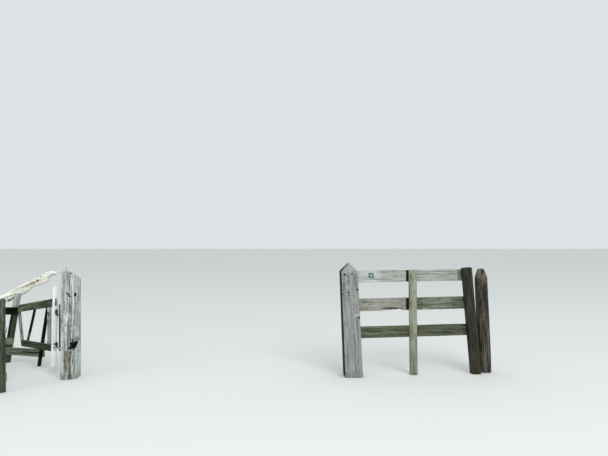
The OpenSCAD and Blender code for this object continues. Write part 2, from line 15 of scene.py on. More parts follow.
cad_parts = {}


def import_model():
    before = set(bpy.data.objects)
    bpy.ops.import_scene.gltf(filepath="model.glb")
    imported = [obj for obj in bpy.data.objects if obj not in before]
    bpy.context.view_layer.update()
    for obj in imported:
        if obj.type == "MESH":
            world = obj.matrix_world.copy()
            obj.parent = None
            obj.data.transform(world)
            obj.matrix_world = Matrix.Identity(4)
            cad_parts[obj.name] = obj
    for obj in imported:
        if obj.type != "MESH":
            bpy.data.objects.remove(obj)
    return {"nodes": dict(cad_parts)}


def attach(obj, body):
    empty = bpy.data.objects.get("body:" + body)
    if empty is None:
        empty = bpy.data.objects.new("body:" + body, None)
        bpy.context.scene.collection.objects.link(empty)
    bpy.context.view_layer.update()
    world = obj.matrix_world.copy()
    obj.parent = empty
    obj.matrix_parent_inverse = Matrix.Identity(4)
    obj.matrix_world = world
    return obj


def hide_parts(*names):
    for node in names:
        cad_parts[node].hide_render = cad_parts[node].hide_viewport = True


log = logging.getLogger("kissing_gate")

Colour = tuple[float, float, float]
Place = tuple[float, float, float]
Socket = bpy.types.NodeSocket
Mesh = bmesh.types.BMesh
MM = 0.001
SEARCH = 60 * MM
GATEWAY, LEAF = "gateway", "leaf"
NODES: dict[str, bpy.types.Object] = {}
SKINS: dict[str, BVHTree] = {}
UP, RIGHT, TO_VIEWER = Vector((0, 0, 1)), Vector((1, 0, 0)), Vector((0, -1, 0))
LOOKS = ("crack", "heart", "edge", "tone", "moss")


class Shape(Enum):
    """Cross-section of a timber."""

    SQUARE = "square"
    ROUND = "round"
    HALF_ROUND = "half round"


class Face(Enum):
    """The four faces of a timber, as the turn round its section at the middle of each."""

    ACROSS = 0.0
    THROUGH = 0.25
    BACK_ACROSS = 0.5
    BACK_THROUGH = 0.75


class Tone(Enum):
    """What a patch does to the wood's colour."""

    PALE = "pale"
    DARK = "dark"
    BROWN = "brown"
    MOSSY = "mossy"
    # Black lays near-black through the mask of cracks and painted shade; it is used mostly as painted shadow.
    BLACK = "black"


# The faces of a post as the viewer has them, and those of a rail, whose width runs up.
RIGHT_SIDE, BACK, LEFT_SIDE, FRONT = Face
RAIL_FRONT, RAIL_BACK = BACK, FRONT
OUTWARD = dict(zip(Face, ((1, 0), (0, 1), (-1, 0), (0, -1))))
PALE, DARK, BROWN, MOSSY, BLACK = Tone


def linear(colour: Colour) -> tuple[float, ...]:
    """Turns a colour as seen into the linear values that sockets hold.

    Args:
        colour: red, green and blue as seen, from 0 to 100.

    Returns:
        The linear red, green and blue from 0 to 1, and an alpha of 1.
    """
    seen = [c / 100 for c in colour]
    return (*(c / 12.92 if c <= 0.04045 else ((c + 0.055) / 1.055) ** 2.4 for c in seen), 1.0)


def smooth(low: float, high: float, x: float) -> float:
    """Eases from 0 at low to 1 at high."""
    t = min(1.0, max(0.0, (x - low) / (high - low)))
    return t * t * (3 - 2 * t)


def hash01(seed: float) -> float:
    """A fixed number from 0 to 1 for a seed."""
    return math.fmod(abs(math.sin(seed * 12.9898 + 4.1414) * 43758.5453), 1.0)


def waver(x: float, y: float, z: float) -> float:
    """A number from -1 to 1 that changes smoothly from place to place."""
    return noise.noise(Vector((x, y, z)))


def turned(angle: float, x: float, y: float, z: float = 0.0) -> Vector:
    """A point turned about the upright axis by an angle in degrees."""
    c, s = math.cos(math.radians(angle)), math.sin(math.radians(angle))
    return Vector((x * c - y * s, x * s + y * c, z))


def ring_share(j: int, caps: int, rows: int) -> float:
    """How far out a row is: 1 on the sides, and less toward the middle of an end."""
    return j / caps if j < caps else (2 * caps + rows - j) / caps if j > caps + rows else 1.0


class NodeKit:
    """Lays out a material's nodes and links them."""

    def __init__(self, name: str, roughness: float) -> None:
        """Starts a material with a plain shader.

        Args:
            name: the material's name.
            roughness: how rough its surface is, from 0 to 1.
        """
        self.material = bpy.data.materials.new(name)
        self.material.use_nodes = True
        self.tree = self.material.node_tree
        self.tree.nodes.clear()
        self.shader = self.add("BsdfPrincipled", {"Roughness": roughness})
        self.add("OutputMaterial", {"Surface": self.shader.outputs["BSDF"]})

    def add(self, kind: str, inputs: dict, **settings: object) -> bpy.types.Node:
        """Adds a node.

        Args:
            kind: its type, without the word that starts them all.
            inputs: a socket to link or a plain value for each of its inputs.
            settings: its options.

        Returns:
            The node.
        """
        node = self.tree.nodes.new("ShaderNode" + kind)
        for option, value in settings.items():
            setattr(node, option, value)
        for key, value in inputs.items():
            if isinstance(value, Socket):
                self.tree.links.new(value, node.inputs[key])
            else:
                node.inputs[key].default_value = value
        return node

    def looks(self) -> list[Socket]:
        """The grain that a timber's mesh carries, and its looks in the order of their names."""
        grain = self.add("Attribute", {}, attribute_name="grain").outputs["Vector"]
        return [grain] + [self.add("Attribute", {}, attribute_name=name).outputs["Fac"] for name in LOOKS]

    def noise(self, place: Socket, stretch: Place, detail: float, rough: float = 0.6, bend: float = 0.0) -> Socket:
        """Noise over a stretched place.

        Args:
            place: where the pattern is read.
            stretch: how fine it is along each axis.
            detail: octaves.
            rough: strength of the finer octaves.
            bend: distortion.

        Returns:
            The value's socket.
        """
        moved = self.add("VectorMath", {0: place, 1: stretch}, operation="MULTIPLY").outputs[0]
        inputs = {"Vector": moved, "Scale": 1.0, "Detail": detail, "Roughness": rough, "Distortion": bend}
        return self.add("TexNoise", inputs).outputs["Fac"]

    def span(self, value: Socket, low: float, high: float, to_low: float = 0.0, to_high: float = 1.0) -> Socket:
        """Maps a value from one range to another, eased and clamped."""
        inputs = {"Value": value, "From Min": low, "From Max": high, "To Min": to_low, "To Max": to_high}
        return self.add("MapRange", inputs, interpolation_type="SMOOTHSTEP").outputs["Result"]

    def maths(self, operation: str, a: Socket, b: Union[Socket, float] = 0.0) -> Socket:
        """The result of a Math node on one or two values."""
        return self.add("Math", {0: a, 1: b}, operation=operation).outputs[0]

    def times(self, a: Socket, b: Union[Socket, float]) -> Socket:
        """One value times another."""
        return self.maths("MULTIPLY", a, b)

    def layers(self, below: Union[Socket, Colour], *over: tuple[Socket, Colour]) -> Socket:
        """Lays colours over one another.

        Args:
            below: the lowest colour.
            over: the weight and the colour of each layer, from the lowest up.

        Returns:
            The colour's socket.
        """
        for weight, colour in over:
            below = below if isinstance(below, Socket) else linear(below)
            inputs = {"Factor": weight, 6: below, 7: linear(colour)}
            below = self.add("Mix", inputs, data_type="RGBA").outputs[2]
        return below

    def bump(self, height: Socket, strength: float, distance: float, below: Optional[Socket] = None) -> Socket:
        """A bump from a height, laid over another normal where one is given."""
        inputs = {"Height": height, "Strength": strength, "Distance": distance}
        return self.add("Bump", inputs if below is None else {**inputs, "Normal": below}).outputs["Normal"]

    def done(self, colour: Socket, normal: Socket, **numbers: float) -> bpy.types.Material:
        """Dresses the shader.

        Args:
            colour: its colour.
            normal: its normal.
            numbers: its other inputs, with low lines for the spaces in their names.

        Returns:
            The finished material.
        """
        self.tree.links.new(colour, self.shader.inputs["Base Color"])
        self.tree.links.new(normal, self.shader.inputs["Normal"])
        for name, number in numbers.items():
            self.shader.inputs[name.replace("_", " ")].default_value = number
        return self.material


@dataclass(frozen=True)
class WoodFinish:
    """Weathered timber: streaks along the grain, with checks, stains and growth over them."""

    name: str
    slot: str
    light: Colour
    dark: Colour
    stain: Colour
    growth: Colour
    heart: Colour = (36, 24, 16)
    # The hollow colour is laid as painted shade in cracks, holes and recesses, as painted shadow by the black
    # patches, and in dark specks.
    hollow: Colour = (6, 5, 4)
    pale: Colour = (84, 88, 85)
    shade: Colour = (14, 14, 11)
    streaks: float = 0.5
    checks: float = 0.5
    stains: float = 0.4
    growths: float = 0.3
    specks: float = 0.2
    mottles: float = 0.35
    bias: float = 0.0
    shine: float = 0.25
    roughness: float = 0.88

    def make(self) -> bpy.types.Material:
        """Builds the material.

        Returns:
            The material, read along each timber's own grain.
        """
        kit = NodeKit(self.name, self.roughness)
        grain, crack, heart, edge, tone, moss = kit.looks()
        fibre = kit.noise(grain, (7.0, 300.0, 300.0), 4.0)
        streak = kit.noise(grain, (3.4, 40.0, 40.0), 5.0, bend=0.3)
        cloud = kit.noise(grain, (2.4, 7.0, 7.0), 4.0)
        patch = kit.noise(grain, (5.27, 18.7, 18.7), 5.0, 0.62)
        speck = kit.noise(grain, (60.0, 120.0, 120.0), 2.0, 0.5)
        check = kit.noise(grain, (2.1, 62.0, 62.0), 2.0, 0.4, 0.25)
        mottle = kit.noise(grain, (38.0, 85.0, 85.0), 3.0)
        lines = kit.span(kit.maths("ABSOLUTE", kit.maths("SUBTRACT", check, 0.5)), 0.0, 0.022, 1.0, 0.0)
        checks = kit.times(lines, kit.span(patch, 0.42, 0.6))
        spread, middle = 0.26 - 0.18 * self.streaks, 0.5 - self.bias
        deep = tuple(channel * 0.72 for channel in self.dark)
        dimmed = kit.span(kit.times(tone, -1.0), 0.0, 1.0, 0.0, 0.9)
        colour = kit.layers(
            self.dark,
            (kit.span(streak, middle - spread, middle + spread), self.light),
            (kit.times(kit.span(cloud, 0.44, 0.68), self.stains), self.stain),
            (kit.span(fibre, 0.3, 0.7, 0.0, 0.26), deep),
            (kit.span(mottle, 0.5, 0.72, 0.0, self.mottles), deep),
            (kit.span(mottle, 0.3, 0.5, self.mottles, 0.0), self.light),
            (kit.times(edge, 0.25), self.light),
            (kit.times(kit.span(patch, 0.55, 0.72), self.growths), self.growth),
            # Pale and dark patches lay the pale and shade colours: some are stains and bleaching, some a painted
            # highlight, some painted shade.
            (kit.times(kit.span(tone, 0.0, 1.0, 0.0, 0.8), kit.span(streak, 0.3, 0.6, 0.5, 1.0)), self.pale),
            (kit.times(dimmed, kit.span(streak, 0.35, 0.65, 1.0, 0.6)), self.shade),
            (kit.times(moss, kit.span(patch, 0.40, 0.62, 0.15, 0.8)), self.growth),
            # Specks, checks and the mask of cracks and painted shade lay the hollow colour: painted shade inside
            # cracks, holes and cavities, and near-black painted shadow.
            (kit.times(kit.span(speck, 0.64, 0.72), self.specks), self.hollow),
            (kit.times(checks, self.checks), self.hollow),
            (kit.span(heart, 0.1, 0.9), self.heart),
            (kit.span(crack, 0.05, 0.8), self.hollow),
        )
        ridges = kit.bump(streak, 0.6, 0.004, kit.bump(fibre, 0.5, 0.0012))
        ridges = kit.bump(kit.maths("SUBTRACT", speck, checks), 0.8, 0.003, ridges)
        return kit.done(colour, ridges, Specular_IOR_Level=self.shine)


@dataclass(frozen=True)
class PaintFinish:
    """Old white paint over timber, thin and gone from the arrises."""

    name: str
    paint: Colour
    shade: Colour
    bare: Colour
    growth: Colour = (50, 60, 46)
    hollow: Colour = (8, 7, 6)
    dim: Colour = (22, 24, 20)
    slot: str = "white_stile_paint"

    def make(self) -> bpy.types.Material:
        """Builds the material.

        Returns:
            The material, read along each timber's own grain.
        """
        kit = NodeKit(self.name, 0.62)
        grain, crack, heart, edge, tone, moss = kit.looks()
        fibre = kit.noise(grain, (9.0, 260.0, 260.0), 4.0)
        flake = kit.noise(grain, (9.0, 42.0, 42.0), 5.0, 0.65, 0.4)
        cloud = kit.noise(grain, (4.0, 9.0, 9.0), 4.0)
        worn = kit.span(kit.maths("ADD", flake, kit.times(edge, 0.10)), 0.62, 0.67)
        colour = kit.layers(
            self.paint,
            (kit.span(cloud, 0.35, 0.7), self.shade),
            (kit.span(fibre, 0.3, 0.75, 0.0, 0.10), self.bare),
            (kit.span(cloud, 0.58, 0.75, 0.0, 0.25), self.growth),
            (worn, self.bare),
            (kit.span(tone, 0.0, 1.0, 0.0, 0.8), self.paint),
            (kit.span(kit.times(tone, -1.0), 0.0, 1.0, 0.0, 0.9), self.dim),
            (kit.times(moss, kit.span(cloud, 0.35, 0.6, 0.3, 0.9)), self.growth),
            (kit.span(heart, 0.1, 0.9), self.bare),
            # The mask of cracks and painted shade lays the hollow colour: painted shade inside cracks and the
            # mortise, and painted shadow.
            (kit.span(crack, 0.05, 0.8), self.hollow),
        )
        relief = kit.maths("SUBTRACT", flake, kit.times(worn, 0.5))
        relief = kit.bump(relief, 0.5, 0.0012, kit.bump(fibre, 0.35, 0.0008))
        return kit.done(colour, relief, Specular_IOR_Level=0.35)


@dataclass(frozen=True)
class IronFinish:
    """Rusted iron, dull wire or a worn plate: two colours over the metal, pitted."""

    name: str
    slot: str
    metal: Colour
    rust: Colour
    deep: Colour
    rusted: float = 0.4
    roughness: float = 0.6
    metallic: float = 0.0

    def make(self) -> bpy.types.Material:
        """Builds the material.

        Returns:
            The material, read in object coordinates.
        """
        kit = NodeKit(self.name, self.roughness)
        place = kit.add("TexCoord", {}).outputs["Object"]
        coarse = kit.noise(place, (38.0, 38.0, 38.0), 4.0)
        fine = kit.noise(place, (320.0, 320.0, 320.0), 3.0)
        colour = kit.layers(
            self.metal, (kit.span(coarse, 0.62 - 0.5 * self.rusted, 0.75 - 0.3 * self.rusted), self.rust),
            (kit.span(fine, 0.45, 0.7, 0.0, 0.7), self.deep))
        pits = kit.bump(coarse, 0.5, 0.002, kit.bump(fine, 0.7, 0.0008))
        return kit.done(colour, pits, Metallic=self.metallic)


Finish = Union[WoodFinish, PaintFinish, IronFinish]

# A timber's finish: its name and slot, then its light, dark, stain and growth colours, from 0 to 100.
# Paint: its name, then paint, shade, bare wood and growth. Iron: its name and slot, then metal, rust and pits.
OAK = WoodFinish("bleached_cracked_oak", "weathered_oak", (85, 89, 88), (51, 53, 50), (72, 67, 66), (55, 60, 51),
    heart=(47, 44, 36), pale=(90, 94, 93), streaks=0.8, checks=0.8, stains=0.8, specks=0.3)
OAK_PALE = WoodFinish("bleached_splinters", "weathered_oak", (78, 81, 77), (50, 52, 47), (62, 62, 56), (50, 55, 44),
    streaks=0.6)
BATTEN = WoodFinish("lichened_batten", "lichened_oak", (47, 48, 43), (22, 23, 19), (36, 37, 32), (36, 40, 32),
    streaks=0.7, growths=0.6)
LICHENED = WoodFinish("lichened_oak", "lichened_oak", (61, 64, 60), (33, 35, 31), (49, 51, 46), (47, 52, 44),
    streaks=0.7, growths=0.4)
PAINT = PaintFinish("worn_white_paint", (100, 100, 100), (93, 96, 97), (63, 61, 57), (81, 88, 84))
PALE_PAINT = PaintFinish("thin_white_paint", (71, 75, 75), (43, 46, 45), (32, 33, 29))
OLIVE = WoodFinish("olive_brown_timber", "olive_timber", (39, 41, 31), (15, 17, 11), (29, 29, 21), (30, 34, 23),
    pale=(56, 61, 50), shade=(6, 7, 4), streaks=0.75, specks=0.3)
# A darker copy of the olive timber for the leaf's lower rail: its darkness is painted shade, and it carries more
# growth.
LOW_OLIVE = WoodFinish("green_olive_timber", "olive_timber", (33, 35, 26), (10, 12, 8), (22, 23, 16), (24, 28, 18),
    pale=(80, 85, 82), shade=(5, 6, 4), streaks=0.75, growths=0.5, specks=0.3)
# Near-black timber for the brace and the far clapping post: painted shade of pieces that stand in shadow, with damp
# darkening.
DAMP_AND_SHADED = WoodFinish("dark_damp_timber", "dark_timber", (9, 12, 7), (1.5, 2, 1), (5, 7, 4), (8, 12, 6),
    pale=(46, 50, 38), shine=0.08, roughness=0.9)
# Near-black rail timber: painted shade of a rail seen on its shaded side.
BAR_DARK = WoodFinish("dark_rail_timber", "dark_timber", (11, 11, 10), (1.5, 1.5, 1), (5, 5, 4), (8, 9, 6),
    pale=(36, 36, 32), streaks=0.6, shine=0.05, roughness=0.9)
ENCLOSURE = WoodFinish("grey_brown_timber", "enclosure_timber", (53, 55, 48), (28, 29, 24), (42, 42, 35),
    (40, 46, 33), streaks=0.7, growths=0.35)
CLAPPING = WoodFinish("mottled_grey_timber", "enclosure_timber", (46, 48, 43), (18, 21, 16), (33, 34, 29),
    (28, 35, 23), streaks=0.8, growths=0.4)
WHITISH = WoodFinish("broken_whitish_rail", "pale_timber", (75, 79, 75), (32, 34, 30), (55, 57, 52), (44, 50, 38),
    streaks=0.9)
PALE_GREY = WoodFinish("pale_grey_timber", "pale_timber", (76, 79, 77), (49, 51, 47), (65, 66, 63), (53, 57, 50),
    heart=(22, 24, 18), hollow=(3, 3, 2), streaks=0.8)
BLEACHED = WoodFinish("bare_bleached_wood", "bleached_pole", (100, 99, 95), (68, 67, 60), (93, 91, 86), (80, 79, 71),
    heart=(55, 46, 35), hollow=(27, 25, 20), pale=(100, 100, 97), streaks=0.8, checks=0.45, stains=0.3, mottles=0.25,
    bias=0.07)
GATEPOST = WoodFinish("warm_grey_gatepost", "gatepost_timber", (63, 65, 65), (45, 48, 46), (61, 56, 57), (48, 53, 45),
    heart=(50, 44, 40), pale=(74, 76, 76), streaks=0.65, checks=0.4, stains=0.7, growths=0.2, specks=0.8)
SILVER = WoodFinish("silver_grey_rail", "fence_timber", (69, 71, 69), (56, 58, 55), (65, 63, 60), (58, 60, 54),
    heart=(48, 38, 30), pale=(75, 77, 76), checks=0.3, growths=0.2, specks=0.25)
MIDDLE_RAIL = WoodFinish("grey_rail", "fence_timber", (65, 66, 62), (48, 49, 45), (59, 56, 51), (37, 40, 30),
    heart=(46, 27, 18), shade=(19, 19, 15), streaks=0.6, checks=0.4, stains=0.5, growths=0.2, specks=0.35)
HALF_ROUND = WoodFinish("beige_half_round", "half_round_timber", (66, 67, 60), (47, 49, 41), (60, 58, 51),
    (50, 52, 42), pale=(74, 74, 69), shade=(12, 12, 8), streaks=0.6)
LOW_RAIL = WoodFinish("damp_green_rail", "fence_timber", (46, 47, 40), (26, 27, 22), (38, 37, 30), (35, 39, 28),
    streaks=0.6, growths=0.4)
END_POST = WoodFinish("dark_green_post", "dark_timber", (26, 26, 20), (9, 10, 6), (20, 18, 13), (18, 22, 14),
    streaks=0.8, growths=0.4, roughness=0.85)
OLD_ROUND = WoodFinish("old_brown_post", "old_round_timber", (39, 38, 34), (13, 12, 10), (27, 24, 20), (30, 33, 24),
    heart=(44, 38, 34), pale=(55, 56, 51), shade=(7, 7, 5), streaks=0.95, checks=0.9, growths=0.25, specks=0.5)
RUST = IronFinish("rusted_iron", "rusted_iron", (15, 15, 14), (22, 16, 12), (8, 7, 6), rusted=0.6, metallic=0.2,
    roughness=0.75)
WIRE = IronFinish("dull_wire", "galvanised_wire", (76, 82, 78), (62, 66, 58), (50, 56, 50), rusted=0.25,
    roughness=0.55, metallic=0.1)
DARK_WIRE = IronFinish("dark_wire", "galvanised_wire", (13, 14, 12), (12, 10, 8), (6, 6, 5), metallic=0.2)
PLATE = IronFinish("dark_teal_plate", "fence_timber", (26, 35, 33), (32, 42, 39), (20, 28, 26))
WORN_PLATE = IronFinish("worn_plate_middle", "fence_timber", (60, 68, 66), (52, 61, 58), (42, 51, 48), roughness=0.7)

MATERIALS: dict[str, bpy.types.Material] = {}


def material(finish: Finish) -> bpy.types.Material:
    """Makes a finish's material, once.

    Args:
        finish: the finish.

    Returns:
        Its material.
    """
    if finish.name not in MATERIALS:
        MATERIALS[finish.name] = finish.make()
    return MATERIALS[finish.name]


class Metric:
    """Takes its lengths in millimetres and keeps them in metres."""

    LENGTHS = {"place", "at", "start", "end", "radius", "width", "depth", "length", "half_length", "half_width",
               "arris", "wear", "bow", "ragged"}

    def __post_init__(self) -> None:
        """Turns each length into metres."""
        for name in self.LENGTHS & vars(self).keys():
            setattr(self, name, getattr(self, name) * MM)


@dataclass
class Crack(Metric):
    """A check that opens along the grain."""

    face: Face
    place: float
    start: float
    end: float
    width: float
    depth: float


@dataclass
class Knot(Metric):
    """A knot or a hole in a face; its dark is how dark its inside is painted: painted shade in a hole, and a knot's
    own colour.
    """

    face: Face
    place: float
    at: float
    radius: float
    depth: float
    dark: float = 0.9


@dataclass
class Patch(Metric):
    """A soft-edged patch of colour on every face, or round a place on one face; some are stains, others painted
    highlights and painted shade.
    """

    tone: Tone
    at: float
    half_length: float
    strength: float = 1.0
    fray: float = 0.35
    face: Optional[Face] = None
    place: float = 0.0
    half_width: float = 1000.0


@dataclass
class Tenon(Metric):
    """The narrower end of a rail past its shoulder."""

    length: float
    width: float
    depth: float


@dataclass
class Skin:
    """One point of a rolled grid and how it looks."""

    co: Vector
    grain: Vector
    crack: float = 0.0
    heart: float = 0.0
    edge: float = 0.0
    tone: float = 0.0
    moss: float = 0.0


@dataclass
class Stick:
    """A straight timber's own axes, measured on its CAD node."""

    origin: Vector
    along: Vector
    across: Vector
    through: Vector
    length: float
    width: float
    depth: float

    @classmethod
    def of(cls, node: str, toward: Vector, across: Vector) -> "Stick":
        """Measures a node along its own length.

        Args:
            node: the CAD node's name.
            toward: roughly the way that its length runs.
            across: roughly the way that its width runs.

        Returns:
            Its axes and sizes, with the origin in the middle of its first end.
        """
        mesh = NODES[node].data
        normals = np.array([face.normal for face in mesh.polygons], float)
        areas = np.array([face.area for face in mesh.polygons], float)
        keep = np.ones(len(areas), bool)
        # The length runs where no side faces. The second look leaves out the ends.
        for _ in range(2):
            spread = (normals[keep] * areas[keep, None]).T @ normals[keep]
            axis = np.linalg.eigh(spread)[1][:, 0]
            keep = np.abs(normals @ axis) < 0.5
        along = Vector(axis)
        if along.dot(toward) < 0:
            along.negate()
        side = (across - along * across.dot(along)).normalized()
        axes = (along, side, along.cross(side))
        points = np.array([vert.co for vert in mesh.vertices], float) @ np.array(axes, float).T
        low, high = points.min(axis=0), points.max(axis=0)
        middle = [low[0], *((low + high) / 2)[1:]]
        origin = sum((axis * float(place) for axis, place in zip(axes, middle)), Vector())
        return cls(origin, *axes, *(float(size) for size in high - low))

    def place(self, a: float, u: float, v: float) -> Vector:
        """The point at distance a along, u across and v through."""
        return self.origin + self.along * a + self.across * u + self.through * v


# A spot of a section: its place across and through, the two parts of its outward direction, and how far it is on
# an arris or how dark it is. Cracks and knots come in groups, a face and its rows, and patches in rows. A row has
# the fields of its class in their order, in millimetres.
Spot = tuple[float, float, float, float, float]
Section = Callable[[float, Spot], Spot]
Carving = Callable[[float, float], tuple[float, float, float]]
End = Callable[[float, float], float]
Marks = Sequence[tuple]


def rolled(around: int, rows: int, row_at: Callable[[int], list[Skin]]) -> Mesh:
    """Rolls a grid into a closed skin with its looks kept as attributes.

    Args:
        around: columns round the piece.
        rows: rows along it, those of its ends among them.
        row_at: gives the points of a row.

    Returns:
        The closed mesh.
    """
    bm = bmesh.new()
    bmesh.ops.create_grid(bm, x_segments=around, y_segments=rows, size=1.0)
    grain = bm.verts.layers.float_vector.new("grain")
    layers = {name: bm.verts.layers.float.new(name) for name in LOOKS}
    cells: list[list[bmesh.types.BMVert]] = [[] for _ in range(rows + 1)]
    for vert in bm.verts:
        cells[round((vert.co.y + 1) / 2 * rows)].append(vert)
    for j, row in enumerate(cells):
        row.sort(key=lambda vert: vert.co.x)
        skins = row_at(j)
        for vert, skin in zip(row, skins + skins[:1]):
            vert.co, vert[grain] = skin.co, skin.grain
            for name, layer in layers.items():
                vert[layer] = getattr(skin, name)
    bmesh.ops.remove_doubles(bm, verts=bm.verts, dist=1e-6)
    bmesh.ops.recalc_face_normals(bm, faces=bm.faces)
    return bm


def gathered(meshes: Iterable[Mesh]) -> Mesh:
    """Puts several closed meshes together in one.

    Args:
        meshes: the meshes, each freed once it is in.

    Returns:
        The one mesh.
    """
    whole = bmesh.new()
    for bm in meshes:
        part = bpy.data.meshes.new("part")
        bm.to_mesh(part)
        bm.free()
        whole.from_mesh(part)
        bpy.data.meshes.remove(part)
    return whole


def finish_piece(bm: Mesh, name: str, finish: Finish, body: str, nodes: Sequence[str] = (),
                 smooth_shade: bool = True) -> None:
    """Turns a mesh into a piece of the object.

    Args:
        bm: the mesh, in metres in the row frame.
        name: the piece's name.
        finish: its finish.
        body: the body it rides on.
        nodes: the CAD nodes it stands for.
        smooth_shade: whether its faces are shaded smooth.
    """
    mesh = bpy.data.meshes.new(name)
    SKINS[name] = BVHTree.FromBMesh(bm)
    bm.to_mesh(mesh)
    bm.free()
    if smooth_shade:
        mesh.shade_smooth()
    piece = bpy.data.objects.new(name, mesh)
    bpy.context.scene.collection.objects.link(piece)
    mesh.materials.append(material(finish))
    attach(piece, body)
    if nodes:
        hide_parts(*nodes)
    log.info("%s: %d faces", name, len(mesh.polygons))


def seat(piece: str, near: Vector, out: Vector) -> Vector:
    """The point of a finished piece's surface under a point near it.

    Args:
        piece: name of the piece.
        near: a point close to its surface.
        out: the way that the surface faces.

    Returns:
        The point of the surface, or the point given where nothing is under it.
    """
    out = out.normalized()
    hit = SKINS[piece].ray_cast(near + out * SEARCH, -out, 2 * SEARCH)[0]
    return near if hit is None else hit


